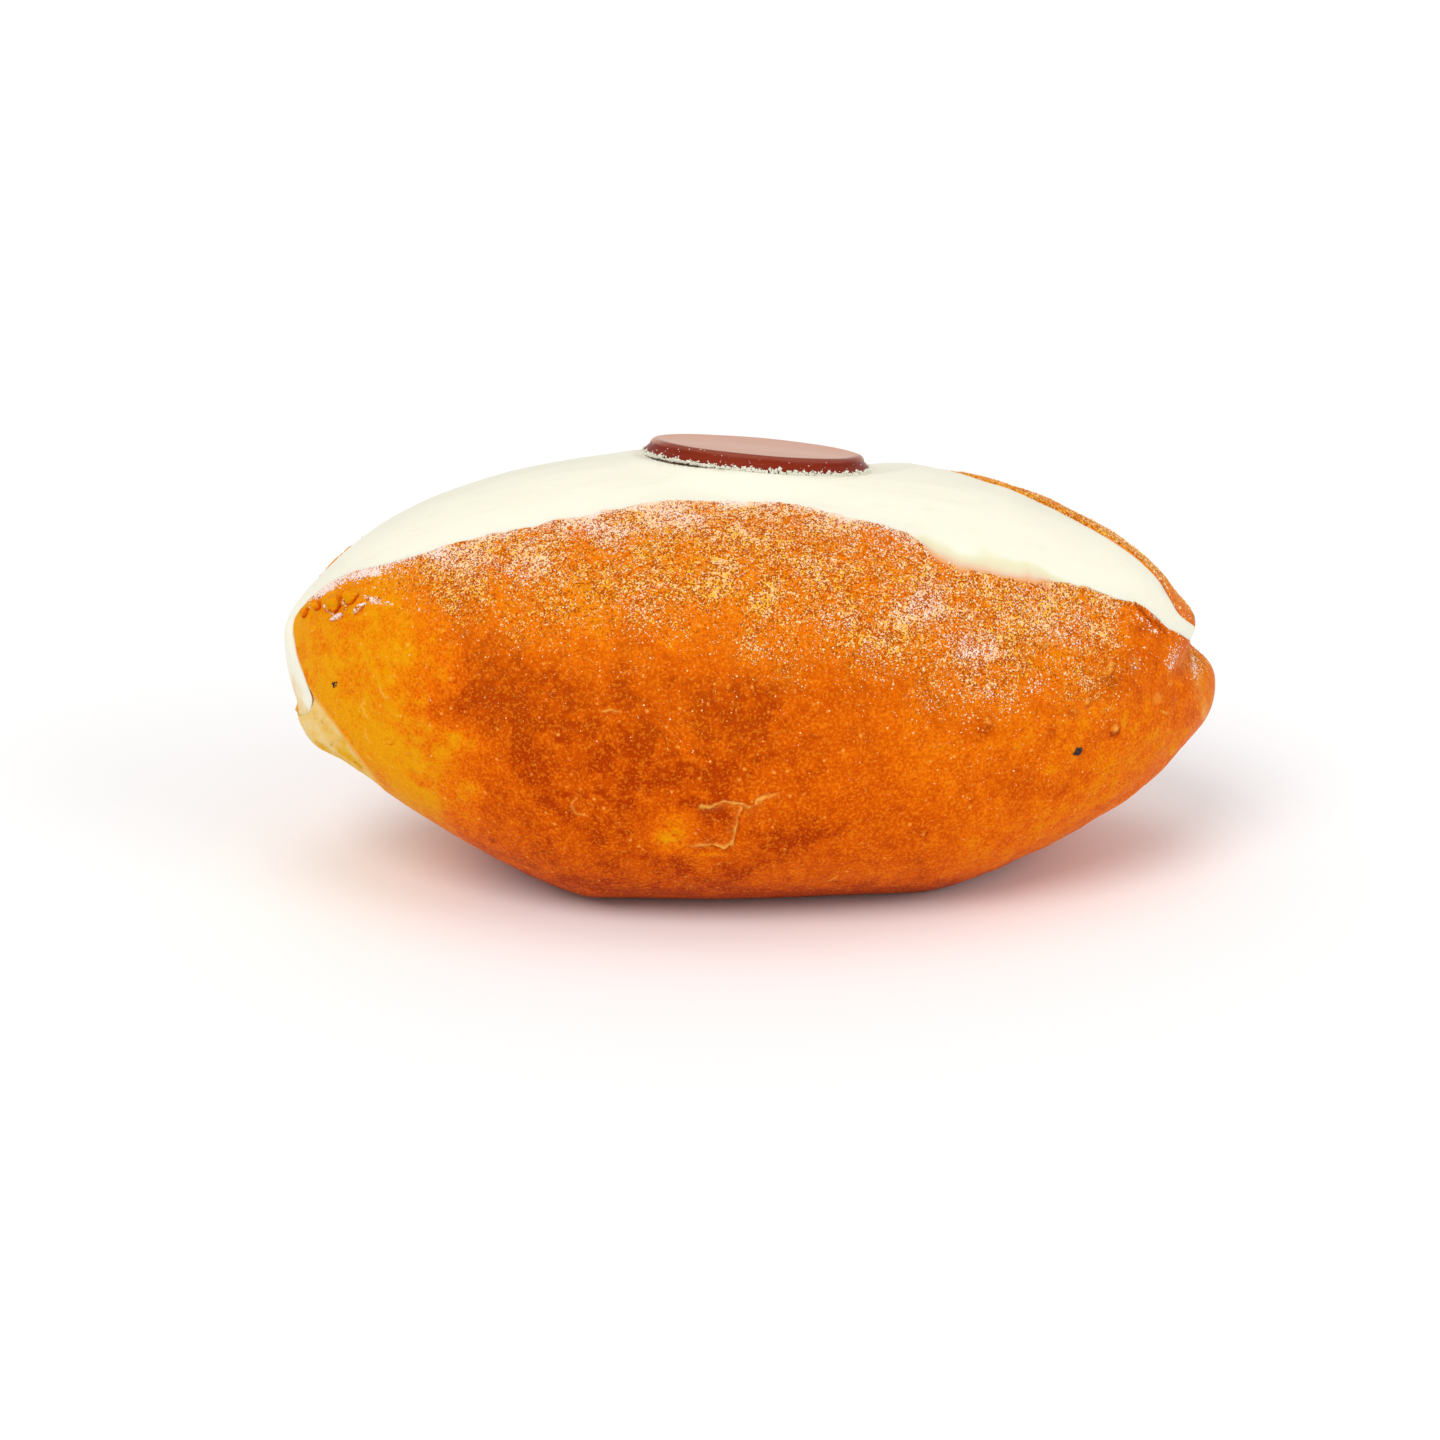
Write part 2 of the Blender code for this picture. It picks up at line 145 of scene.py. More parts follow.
# Beds where the sugar covers the crust: x, z, half width, half height, lean, cover
BEDS = ((-56.2, 46.6, 2.4, 0.5, 1.2, 0.9), (-62.3, 43.2, 1.0, 0.35, 0, 0.7), (57.2, 40.9, 0.7, 2.8, -1.0, 0.62),
        (-46.5, 53.0, 1.2, 0.5, 1.0, 0.5), (66.2, 31.0, 0.8, 1.6, 0, 0.5),
        (45.5, 40.8, 2.8, 0.35, 0, 0.6), (61.6, 35.0, 1.6, 2.0, 0, 0.55), (55.0, 36.0, 0.9, 1.2, 0, 0.45))
# Where the sugar lies thickest
DRIFTS = ((-18.6, 49.5, 2.6, 2.2, 0, 0.35), (-16.8, 46.3, 2.6, 1.6, 0, 0.4), (9.0, 53.5, 4.0, 1.6, 0, 0.25),
          (10.0, 47.5, 4.5, 1.6, -0.4, 0.25), (22.0, 48.5, 4.0, 2.6, 0, 0.35), (28.5, 43.5, 4.5, 1.6, -0.8, 0.4),
          (30.5, 41.2, 3.6, 1.1, -0.6, 0.5), (38.8, 36.0, 1.9, 0.9, 0, 0.5), (14.5, 43.0, 2.6, 1.4, 0, 0.3),
          (22.5, 36.5, 4.0, 1.8, 0, 0.3), (31.5, 36.0, 3.6, 1.6, 0, 0.3), (16.5, 40.0, 3.0, 1.6, 0, 0.2),
          (-23.0, 57.0, 5.0, 1.6, 0, 0.35), (-12.0, 59.0, 5.0, 1.2, 0, 0.35), (42.5, 43.0, 5.0, 2.4, 0, 0.35),
          (61.5, 36.0, 2.0, 2.2, 0, 0.5), (66.0, 31.0, 1.0, 2.4, 0, 0.3), (-9.0, 37.5, 2.2, 1.0, 0, 0.25),
          (-33.0, 52.5, 6.0, 1.6, 0.6, 0.3), (0.0, 44.0, 4.0, 2.0, 0, 0.2), (-42.0, 53.0, 5.0, 1.6, 0.4, 0.3),
          (54.5, 36.0, 1.2, 1.2, 0, 0.3), (60.5, 41.0, 1.5, 1.5, 0, 0.3))

# How well the crust is baked at x, and how far down the near side the sugar reaches there
BAKE_ALONG = ((-71, 0.8), (-38, 0.86), (-10, 0.86), (4, 0.78), (16, 0.64), (28, 0.54), (48, 0.5), (71, 0.5))
SUGAR_FLOOR = ((-71, 42), (-45, 42), (-22, 42), (-6, 41.5), (6, 39), (22, 34), (50, 32), (71, 33))
# Scorched specks: x, z, radius, number of grains
SPECKS = ((-62.5, 33.8, 0.5, 9), (45.7, 25.5, 0.62, 16), (50.9, 45.9, 0.3, 3), (23.0, 55.2, 0.35, 3),
          (10.5, 7.0, 0.25, 3))
# Parts of the near side that carry the flake, and the blisters and thin lines: x from and to, z from and to
FLAKE_BOX = (-18.0, 3.0, 12.2, 25.6)
BLISTER_BOXES = ((44.8, 53.4, 25.6, 38.9), (29.8, 34.0, 29.8, 34.0), (37.5, 51.0, 38.9, 43.0),
                 (-60.5, -51.5, 24.2, 37.5), (5.2, 12.0, 5.8, 11.0), (20.9, 24.1, 14.0, 17.0),
                 (37.9, 41.1, 14.0, 17.2), (-29.6, -23.6, 18.2, 23.6), (-45.6, -38.2, 10.5, 15.1),
                 (-25.3, -19.7, 33.8, 37.0), (26.3, 29.3, 27.9, 30.9), (-46.6, -43.2, 36.4, 39.6),
                 (57.8, 62.0, 26.0, 29.6))

# Middle of the bun, for telling which way is out
MIDDLE = (0, 0, 28)
# Distance to the lips given to places far from both
NO_LIP = 99.0

# Numbers of grains
SUGAR_GRAINS = 22000
FROTH_CRUMBS = 1500
DISC_GRAINS = 40

# Mesh density
CRUST_STATIONS = 410
CRUST_COLUMNS = 196
CRUMB_COLUMNS = 8
CREAM_STATIONS = 330
CREAM_COLUMNS = 84
DISC_SEGMENTS = 200
FLAKE_STEP, BLISTER_STEP = 0.1, 0.13

# Radius at which the lips roll over into the cut
LIP_ROLL = 0.45


# ---- shape helpers

# Turns the grid of the random lumps away from the axes of the bun
GRID_TURN = np.array([(0.733, 0.486, -0.476), (-0.334, 0.868, 0.372), (0.593, -0.114, 0.797)])


def smooth_line(points, x):
    """Monotone cubic through (x, value) pairs."""
    px, py = np.array(points, float).T
    step = np.diff(px)
    rise = np.diff(py) / step
    slope = np.zeros(len(px))
    same = rise[:-1] * rise[1:] > 0
    slope[1:-1][same] = 2 / (1 / rise[:-1][same] + 1 / rise[1:][same])
    k = np.clip(np.searchsorted(px, x, side="right") - 1, 0, len(px) - 2)
    u = (np.asarray(x) - px[k]) / step[k]
    return (py[k] * (1 + 2 * u) * (1 - u) ** 2 + py[k + 1] * u * u * (3 - 2 * u)
            + step[k] * (slope[k] * u * (1 - u) ** 2 + slope[k + 1] * u * u * (u - 1)))


def fade(x, start, end):
    u = np.clip((x - start) / (end - start), 0, 1)
    return u * u * (3 - 2 * u)


def hill(x, middle, half):
    """1 at the middle, falling away softly on both sides."""
    return np.exp(-((x - middle) / half) ** 2)


def oval(x, z, wide, tall):
    """Squared distance from the middle of an oval, 1 on its edge."""
    return (x / wide) ** 2 + (z / tall) ** 2


def unit(v):
    return v / np.linalg.norm(v, axis=-1, keepdims=True)


def lumps(p, size, seed):
    """Smooth random lumps between -1 and 1, about one size apart, in mm."""
    q = (p @ GRID_TURN) / size + 31.7 * seed + 500
    cell = np.floor(q)
    f = q - cell
    f = f * f * f * (f * (f * 6 - 15) + 10)
    total = np.zeros(p.shape[:-1])
    for i in (0, 1):
        for j in (0, 1):
            for k in (0, 1):
                corner = cell + (i, j, k)
                value = np.sin(corner @ (12.9898, 78.233, 37.719)) * 43758.5453
                value = (value - np.floor(value)) * 2 - 1
                total += value * (np.where(i, f[..., 0], 1 - f[..., 0])
                                  * np.where(j, f[..., 1], 1 - f[..., 1])
                                  * np.where(k, f[..., 2], 1 - f[..., 2]))
    return total


def side_mix(t, pair):
    """Value for the left end, turning into the one for the right end."""
    w = 0.5 + 0.5 * np.tanh(6 * t)
    return pair[0] * (1 - w) + pair[1] * w


def bun_section(x):
    """Half width, keel, top line and waist level at x."""
    t = np.clip(2 * x / LENGTH, -0.999999, 0.999999)
    a = np.abs(t)
    width = HALF_WIDTH * (1 - a ** PLAN_POWER) ** PLAN_FULLNESS
    q = np.maximum(a - KEEL_START, 0) / (1 - KEEL_START)
    keel = side_mix(t, KEEL_RISE) * q ** 1.3 + side_mix(t, KEEL_FLICK) * q ** 5
    tip = side_mix(t, TIP_TOP)
    top = tip + (HEIGHT + TOP_SLOPE * t - tip) * (1 - a ** TOP_POWER) ** TOP_FULLNESS
    return width, keel, top, keel + (top - keel) * WAIST


def bun_level(p):
    """Below 1 inside the bun's outer shape and above 1 outside."""
    x, y, z = np.moveaxis(p, -1, 0)
    width, keel, top, waist = bun_section(x)
    up = z >= waist
    height = np.where(up, top - waist, waist - keel + FLAT)
    power = np.where(up, ROUND_UP, ROUND_DOWN)
    level = (np.abs(y) / width) ** power + (np.abs(z - waist) / height) ** power
    return np.where(np.abs(x) < LENGTH / 2, level, 9.0)


def bun_reach(direction):
    """Point of the outer shape that lies farthest along a direction."""
    t = np.sin(np.linspace(-np.pi / 2, np.pi / 2, 601))[:, None]
    turn = np.linspace(-np.pi, np.pi, 721)[None, :]
    width, keel, top, waist = bun_section(t * LENGTH / 2)
    c, s = np.cos(turn), np.sin(turn)
    power = np.where(s >= 0, ROUND_UP, ROUND_DOWN)
    y = width * np.sign(c) * np.abs(c) ** (2 / power)
    height = np.where(s >= 0, top - waist, waist - keel + FLAT)
    z = waist + height * np.sign(s) * np.abs(s) ** (2 / power)
    points = np.stack(np.broadcast_arrays(t * LENGTH / 2, y, z), -1).reshape(-1, 3)
    return points[np.argmax(points @ np.array(direction))]


LEFT_END = bun_reach([-c for c in LEAN_LEFT])
RIGHT_END = bun_reach(LEAN_RIGHT)


def station(t):
    """Bottom of the split at share t of its length, and the axes of the section plane."""
    t = np.asarray(t, float)[..., None]
    start = (1 - t) * LEFT_END + t * RIGHT_END - 4 * t * (1 - t) * np.array([0, 0, SPLIT_DEPTH])
    left = fade(1 - t / LEAN_REACH, 0, 1)
    right = fade(1 - (1 - t) / LEAN_REACH, 0, 1)
    along = np.array([1.0, 0, 0])
    n = unit(along + left * (np.array(LEAN_LEFT) - along) + right * (np.array(LEAN_RIGHT) - along))
    up = unit(np.array([0, 0, 1.0]) - n * n[..., 2:3])
    return start, n, up, np.cross(n, up)


def reach(start, direction):
    """Distance from start to the outer shape, by bisection."""
    low = np.zeros(direction.shape[:-1])
    high = np.full(direction.shape[:-1], 120.0)
    for _ in range(32):
        mid = (low + high) / 2
        inside = bun_level(start + direction * mid[..., None]) < 1
        low = np.where(inside, mid, low)
        high = np.where(inside, high, mid)
    return low


def swell(p):
    """Slow unevenness of the dough."""
    rng = np.random.default_rng(7)
    total = np.zeros(p.shape[:-1])
    for wavelength, size in ((58, 0.14), (47, 0.12), (36, 0.1), (31, 0.1), (24, 0.07), (19, 0.05)):
        wave = unit(rng.normal(size=3)) * 2 * np.pi / wavelength
        total += size * np.sin(p @ wave + rng.uniform(0, 6.28))
    return total


def pinch(p):
    """Draw the right end in where the two halves meet, below the end of the far half."""
    for x, z, wide, tall, move in RIGHT_SHAPE:
        away = oval(p[..., 0] - x, p[..., 2] - z, wide, tall)
        p = p + np.array((move, 0, 0)) * np.exp(-away)[..., None]
    return p


def settle(p):
    """Crumb sagging out low at the left end, with a nick above it where the cream stops."""
    nick, sag = (np.exp(-((p - at) ** 2).sum(-1) / far ** 2)[..., None] * move for at, far, move in (NICK, SAG))
    return p + nick + sag


def flatten(p):
    """Rest the underside on z = 0 with a soft edge."""
    z = p[..., 2]
    p[..., 2] = np.where(np.abs(z) < FOOT_EDGE, (z + FOOT_EDGE) ** 2 / (4 * FOOT_EDGE), np.maximum(z, 0))
    return p


def spread(start, end, share):
    return start + (end - start) * share


def packed_shares(count, weight):
    """Shares from 0 to 1, closer together where weight(share) is high."""
    fine = np.linspace(0, 1, 4001)
    total = np.cumsum(weight((fine[1:] + fine[:-1]) / 2))
    total = np.concatenate([[0], total]) / total[-1]
    return np.interp(np.linspace(0, 1, count), total, fine)


def station_shares(count):
    """Shares from 0 to 1, closer together at both ends."""
    u = np.linspace(0, 1, count)
    return 0.8 * (1 - np.cos(np.pi * u)) / 2 + 0.2 * u


def rays(t, angle):
    """Bottom of the split at each station, the same for each ray, and where the rays point."""
    start, _, up, side = station(t)
    turn = np.radians(angle)[..., None]
    direction = up[:, None] * np.cos(turn) + side[:, None] * np.sin(turn)
    return start, np.broadcast_to(start[:, None], direction.shape), direction


# ---- crust

def flake_area(p):
    """Inside of the torn flake, from 0 to 1."""
    x = (p[..., 0] + 7.6) / 3.4
    z = (p[..., 2] - 18.5) / 3.6
    return (1 - fade(x ** 4 + z ** 4, 0.5, 1.2)) * (p[..., 1] < 0)


def spots(p, places):
    """Sum of rounded spots on the near side, each given as x, z, half width, half height, lean and size."""
    total = np.zeros(p.shape[:-1])
    near = fade(-p[..., 1], -3, 1)
    for x, z, wide, tall, lean, size in places:
        dx = p[..., 0] - x - lean * (p[..., 2] - z)
        total += size * np.exp(-oval(dx, p[..., 2] - z, wide, tall) ** 1.5) * near
    return total


def ragged_end(p, t):
    """Share of the length with the uneven border of the torn end added, clean on the near side."""
    loose = fade(p[..., 1], -9, 0)
    return t + (0.0012 + 0.003 * loose) * lumps(p, 2.5, 8) + 0.003 * loose * lumps(p, 1.1, 10)


def above_foot_of_tear(p):
    """1 where the left end is torn open, 0 under the uneven foot of the tear."""
    return fade(p[..., 2] + 1.4 * lumps(p, 2.2, 62) + 0.5 * lumps(p, 0.9, 63), 9.8, 12.4)


def crust_relief(p, t, angle):
    """Height of the crust over the outer shape, in mm."""
    ends = fade(t, 0, 0.05) * fade(1 - t, 0, 0.05)
    height = swell(p) * (0.3 + 0.7 * ends)
    sides = 1 - fade(np.abs((angle + 180) % 360 - 180), 110, 150)
    ragged = ragged_end(p, t)
    flap = fade(ragged, FLAP_END - 0.0012, FLAP_END + 0.0012)
    height += FLAP_STEP * sides * (0.55 * flap * (1 - fade(t, 0.05, 0.12)) - 0.45 * (1 - flap))
    height += sides * (1 - flap) * (0.3 * lumps(p, 2.6, 15) + 0.15 * lumps(p * (1, 1, 2), 1.2, 16))
    near = p[..., 1] < 0
    for x, z, wide, tall, size in DENTS:
        height += size * near * np.exp(-oval(p[..., 0] - x, p[..., 2] - z, wide, tall) ** 2)
    bumpy = 0.6 + 0.9 * fade(p[..., 0], 15, 50) - 0.3 * fade(-p[..., 0], 40, 58)
    height += bumpy * (0.14 * lumps(p, 9, 1) + 0.11 * lumps(p, 4.2, 2) + 0.07 * lumps(p, 1.8, 5))
    height += 0.035 * lumps(p, 0.9, 6)
    return height + spots(p, SWELLINGS) - 0.2 * flake_area(p)


def crust_bake_and_shade(p, lip):
    """How far each place is baked, from 0, pale yellow, to 1, deep red-brown, with painted shade added along the foot
    where the bun meets the floor.
    """
    x, y, z = np.moveaxis(p, -1, 0)
    along = smooth_line(BAKE_ALONG, x)
    ragged = 2.6 * lumps(p, 9, 41) + 3.2 * lumps(p, 4, 42) + 2.4 * lumps(p, 1.9, 43) + 1.4 * lumps(p, 0.9, 44)
    border = -44.5 + 2.5 * fade(z, 34, 42) * (1 - fade(z, 46, 52)) - 4 * fade(z, 46, 54) + ragged
    pale = 1 - fade(x - border, -9 - 3 * fade(z, 28, 40), 7)
    bake_and_shade = along * (1 - pale) + (0.02 + 0.13 * fade(z, 22, 40)) * pale
    bake_and_shade -= (0.33 * fade(z, 38, 50) + 0.06) * fade(x, -46, -36) * (1 - fade(x, -8, 26)) * fade(z, 30, 40)
    bake_and_shade -= 0.45 * hill(lip, 0, 8) * fade(y, -8, 0) * fade(z, 32, 40)
    # painted shade: darker along the foot, where the bun meets the floor
    bake_and_shade += 0.6 * (1 - fade(z, 0.5, 8)) * (1 - 0.6 * pale)
    bake_and_shade += (0.1 * lumps(p, 13, 21) + 0.1 * lumps(p, 5, 22) + 0.07 * lumps(p, 2.2, 23)) * (1 - 0.5 * pale)
    bake_and_shade += 0.07 * hill(z, 39, 6) * (1 - pale) * (y < 0)
    bake_and_shade -= 0.08 * lumps(p, 1.8, 5) + 0.06 * lumps(p, 0.9, 6)
    bake_and_shade += 0.65 * spots(p, PATCHES) + (0.06 + 0.09 * fade(x, 24, 40)) * lumps(p, 1.4, 24)
    return bake_and_shade + 0.04 * flake_area(p)


def sugar_bed(p, lip):
    """Sugar lying thick along the near lip at the left end."""
    x, y, z = np.moveaxis(p, -1, 0)
    along = fade(x, -67, -65.5) * (1 - fade(x, -57, -50)) * (y < -1) * (z > 41)
    return (1 - fade(lip + 0.6 * lumps(p, 1.1, 48), 1.5, 2.6)) * along * (0.85 + 0.35 * lumps(p, 0.7, 45))


def sugar_cover(p, upward, lip):
    """How thick the fine sugar lies, and how white it is."""
    x, y, z = np.moveaxis(p, -1, 0)
    level = z - smooth_line(SUGAR_FLOOR, x)
    level = level + 3.0 * lumps(p, 9, 31) + 2.0 * lumps(p, 4, 32) + 1.0 * lumps(p, 1.7, 50)
    high = np.maximum(fade(level, -3, 10), 0.75 * fade(upward, 0.35, 0.6)) + 0.2 * fade(level, -18, -2)
    start = -56 - 6 * fade(z, 42, 50)
    along = fade(x + 4 * lumps(p, 5, 35) + 2 * lumps(p, 2, 40), start, start + 16)
    along *= 1 - 0.8 * fade(x, 50, 56) * (1 - fade(upward, 0.5, 0.75))
    dust = high * along * (0.54 + 0.14 * lumps(p, 5, 33) + 0.14 * lumps(p, 2.2, 34) + 0.08 * lumps(p, 1.1, 51))
    brink = (0.6 * hill(lip, 0, 1.2) + 0.4 * hill(lip, 0, 5)) * fade(x, -69, -64) * (y < 12)
    brink *= (1 - 0.6 * fade(x, 18, 24)) * (1 + 0.5 * lumps(p, 3, 39))
    dust *= 1 - 0.3 * fade(x, 24, 34) * fade(y, -2, 6)
    drifts = spots(p, DRIFTS) * (1 + 0.4 * lumps(p, 1.6, 36))
    dust = 0.9 * dust + 0.3 * brink + 0.25 * drifts
    white = 0.02 + 0.12 * fade(x, 0, 22) + 0.1 * lumps(p, 3.5, 37) + 0.12 * lumps(p, 1.7, 38)
    white = white - 0.1 * (1 - fade(level, -2, 6)) + 0.12 * fade(z, 51, 58) + 0.45 * brink + 0.8 * drifts
    white = white * (1 - 0.9 * fade(x, 20, 30) * fade(y, -8, -4) * (1 - fade(y, 8, 16)))
    uneven = 1 + 0.4 * lumps(p, 1.1, 45) + 0.5 * lumps(p, 0.5, 49)
    bed = sugar_bed(p, lip) + spots(p, BEDS) * uneven * (lip < NO_LIP)
    return np.clip(np.maximum(dust, 0.8 * bed), 0, 1), np.clip(white + 0.9 * bed, 0, 1)


def lip_wander(t, seed):
    """Uneven line of a cut edge, in degrees."""
    p = np.stack([t * 140, np.full_like(t, 3.0 * seed), np.zeros_like(t)], -1)
    calm = fade(t, 0.03, 0.12) * fade(1 - t, 0.02, 0.06)
    return calm * (0.4 * lumps(p, 5, seed) + 0.35 * lumps(p, 1.9, seed + 1) + 0.2 * lumps(p, 0.8, seed + 2))


def near_lip(t):
    return smooth_line(NEAR_LIP, t) + lip_wander(t, 1)


def far_lip(t):
    """The far half stops short of the right end, where the cream comes out to the side."""
    return smooth_line(FAR_LIP, t) + lip_wander(t, 5) - 80 * fade(t, 0.9965, 0.9985)


def crust_rings():
    """Points of the crust and crumb with their stations and distance to the lips, -1 on the crumb."""
    t = station_shares(CRUST_STATIONS + 2)[1:-1]
    near, far = near_lip(t)[:, None], far_lip(t)[:, None] + 360

    def weight(s):
        lips = 2.2 * np.exp(-s / 0.012) + 1.2 * np.exp(-(1 - s) / 0.012)
        return 1.0 - 0.6 * fade(s, 0.42, 0.5) + 0.12 * fade(s, 0.6, 0.75) + lips

    share = packed_shares(CRUST_COLUMNS, weight)
    angle = spread(near, far, share)
    start, origin, direction = rays(t, angle)
    radius = reach(origin, direction)
    base = origin + direction * radius[..., None]
    relief = crust_relief(base, t[:, None], angle)
    step = np.linalg.norm(np.diff(base, axis=1), axis=-1)
    along = np.concatenate([np.zeros((len(t), 1)), np.cumsum(step, 1)], 1)
    lip = np.minimum(along, along[:, -1:] - along)
    # both lips stand a little proud, roll over into the cut and are slightly puckered
    inward = np.clip(1 - lip / LIP_ROLL, 0, 1)
    ridge = -0.2 + 0.4 * hill(t, 0.13, 0.03) + 0.2 * fade(t, 0.85, 0.95)
    proud = np.where(angle < 180, 0.25, ridge[:, None]) * fade(t, 0.03, 0.1)[:, None]
    relief += proud * hill(lip, 0, 2.0) - LIP_ROLL * (1 - np.sqrt(np.clip(1 - inward ** 2, 0, 1)))
    relief += 0.16 * lumps(base, 1.6, 9) * hill(lip, 0, 1.6)
    # the torn end is an open crumb
    open_crumb = 1 - fade(ragged_end(base, t[:, None]), FLAP_END - 0.005, FLAP_END - 0.001)
    open_crumb *= above_foot_of_tear(base)
    relief -= open_crumb * (0.45 * fade(lumps(base, 1.4, 60), 0.05, 0.5) + 0.12 * lumps(base, 0.7, 61))
    relief = np.maximum(relief, -0.3 * radius)
    outer = flatten(base + direction * relief[..., None])
    steps = np.linspace(0, 1, CRUMB_COLUMNS + 1)[1:, None] ** 1.6
    down = spread(outer[:, -1:], start[:, None], steps)
    rise = spread(start[:, None], outer[:, :1], 1 - steps[::-1][1:])
    rings = settle(pinch(np.concatenate([outer, down, rise], 1)))
    lip = np.concatenate([lip, np.full((len(t), rings.shape[1] - CRUST_COLUMNS), -1.0)], 1)
    return rings, np.repeat(t[:, None], rings.shape[1], 1), lip


# ---- cream and disc

def disc_frame():
    """Centre of the disc's underside and its axes as rows: two across it, one out of it."""
    back, side = np.radians(DISC_TILT_BACK), np.radians(DISC_TILT_SIDE)
    across = np.array([np.cos(side), 0, -np.sin(side)])
    out = unit(np.array([np.sin(side), np.tan(back), np.cos(side)]))
    across = unit(across - out * (across @ out))
    return np.array(DISC_CENTRE), np.array([across, np.cross(out, across), out])


def seat(points):
    """Press the cream flat under the disc, and let it rise to meet the disc's edge."""
    centre, axes = disc_frame()
    local = (points - centre) @ axes.T
    distance = np.linalg.norm(local[..., :2], axis=-1) / DISC_RADIUS
    facing = np.arctan2(local[..., 1], local[..., 0])
    open_side = fade(np.cos(facing + math.radians(35)), -0.4, 0.4)
    under = 1 - fade(distance, 0.98, 1.3)
    level = local[..., 2] * (1 - under) - 0.1 * under
    bank = (0.6 - 0.35 * open_side) * DISC_RADIUS * np.maximum(distance - 1.04, 0)
    hollow = np.exp(-oval(facing - math.radians(-142), distance - 1.0, 0.32, 0.09))
    bank = bank - 0.9 * hollow
    local[..., 2] = np.minimum(level, bank - 0.1)
    return centre + local @ axes


def cream_rings():
    """Rings round the cream: its top from lip to lip, then its two hidden cut faces."""
    t = spread(0.003, 0.9992, station_shares(CREAM_STATIONS))
    near, far = near_lip(t)[:, None], far_lip(t)[:, None]
    smeared = fade(t, 0.655, 0.68) * (1 - fade(t, 0.8, 0.89))
    smear = 0.9 * smeared + 0.2
    smear = smear[:, None] * (1 + 0.35 * lumps(np.stack([t * 140, t * 0, t * 0], -1), 4, 2)[:, None])
    share = packed_shares(CREAM_COLUMNS, lambda s: 1 + 3 * np.exp(-s / 0.03) + np.exp(-(1 - s) / 0.03))
    angle = spread(near + smear, far, share)
    _, origin, direction = rays(t, angle)
    radius = reach(origin, direction)
    base = origin + direction * radius[..., None]
    inner = np.clip((near - angle) / np.maximum(near - far, 1), 0, 1)
    middle = np.sin(np.pi * inner)
    dome = 0.8 * hill(t, 0.48, 0.15)[:, None] * middle ** 1.5
    dome = dome + (1.2 * fade(t, 0.03, 0.065) * (1 - fade(t, 0.065, 0.14)))[:, None] * middle ** 0.6
    dome = dome - (0.25 * fade(t, 0.68, 0.78) + 0.35 * fade(t, 0.78, 0.86)
                   - 0.6 * fade(t, 0.975, 0.99))[:, None] * inner
    over = np.clip((angle - near) / smear, 0, 1)
    tongue = np.sqrt(np.clip(1 - over, 0, 1)) * np.where(over > 0, 1, np.exp(-inner / 0.06))
    dome = dome + 0.28 * fade(t, 0.02, 0.045)[:, None] * tongue - 1.5 * (1 - fade(t, 0.012, 0.046))[:, None]
    ends = fade(t, 0.03, 0.06)[:, None]
    dome = dome + swell(base) * ends * (1 - fade(inner, 0, 0.1))
    dome = dome + ends * (0.07 * lumps(base * (0.3, 1, 1), 2.6, 12) + 0.035 * lumps(base * (0.25, 1, 1), 0.9, 13))
    radius = radius - 0.15 * (1 - (over > 0)) + dome
    steps = np.linspace(1, 0, 7)[1:]
    apex = 0.1 / np.sin(np.radians((near - far) / 2))
    down = spread(apex, radius[:, -1:], steps)
    rise = spread(apex, radius[:, :1] - 0.5, steps[::-1][1:])
    all_radius = np.concatenate([radius, down, rise], 1)
    faces = [np.repeat(far, down.shape[1], 1), np.repeat(near, rise.shape[1], 1)]
    _, origin, direction = rays(t, np.concatenate([angle] + faces, 1))
    points = settle(pinch(origin + direction * all_radius[..., None]))
    points[:, :CREAM_COLUMNS] = seat(points[:, :CREAM_COLUMNS])
    # Along the near lip the crust's colour shows through the thin cream, with painted shade along the lip where the
    # cream rolls over it
    width = (1.0 + 7.0 * smeared[:, None]) * (1 + 0.25 * lumps(base, 3, 17))
    film_and_shade = np.clip(1 - (near + smear - angle) / width, 0, 1)
    film_and_shade = film_and_shade * np.clip(1.3 * smeared[:, None], 0, 1)
    film_and_shade = np.maximum(film_and_shade, (1 - fade(t[:, None] + 0.01 * lumps(base, 1.4, 14), 0.01, 0.035)) * 0.45)
    thin = np.concatenate([film_and_shade, np.zeros((len(t), down.shape[1] + rise.shape[1]))], 1)
    centre, axes = disc_frame()
    local = (points - centre) @ axes.T
    facing = np.degrees(np.arctan2(local[..., 1], local[..., 0])) + 6 * lumps(points, 1.2, 18)
    distance = np.linalg.norm(local[..., :2], axis=-1) / DISC_RADIUS + 0.02 * lumps(points, 0.8, 19)
    # painted shadow in the hollow under the disc's front left edge, with a brownish smudge beside it
    hollow_shade_and_smudge = 0.85 * np.exp(-((facing + 133) / 21) ** 4 - ((distance - 1.035) / 0.022) ** 2)
    smudge = 0.3 * np.exp(-oval(facing + 155, distance - 1.09, 12, 0.05))
    border = t[:, None] + 0.012 * lumps(points, 1.8, 20) + 0.006 * lumps(points, 0.8, 21)
    soaked = 0.9 * (1 - fade(border, 0.018, 0.044))
    return points, {"thin": thin, "hollow_shade_and_smudge": np.clip(hollow_shade_and_smudge + smudge, 0, 1), "soaked": soaked}


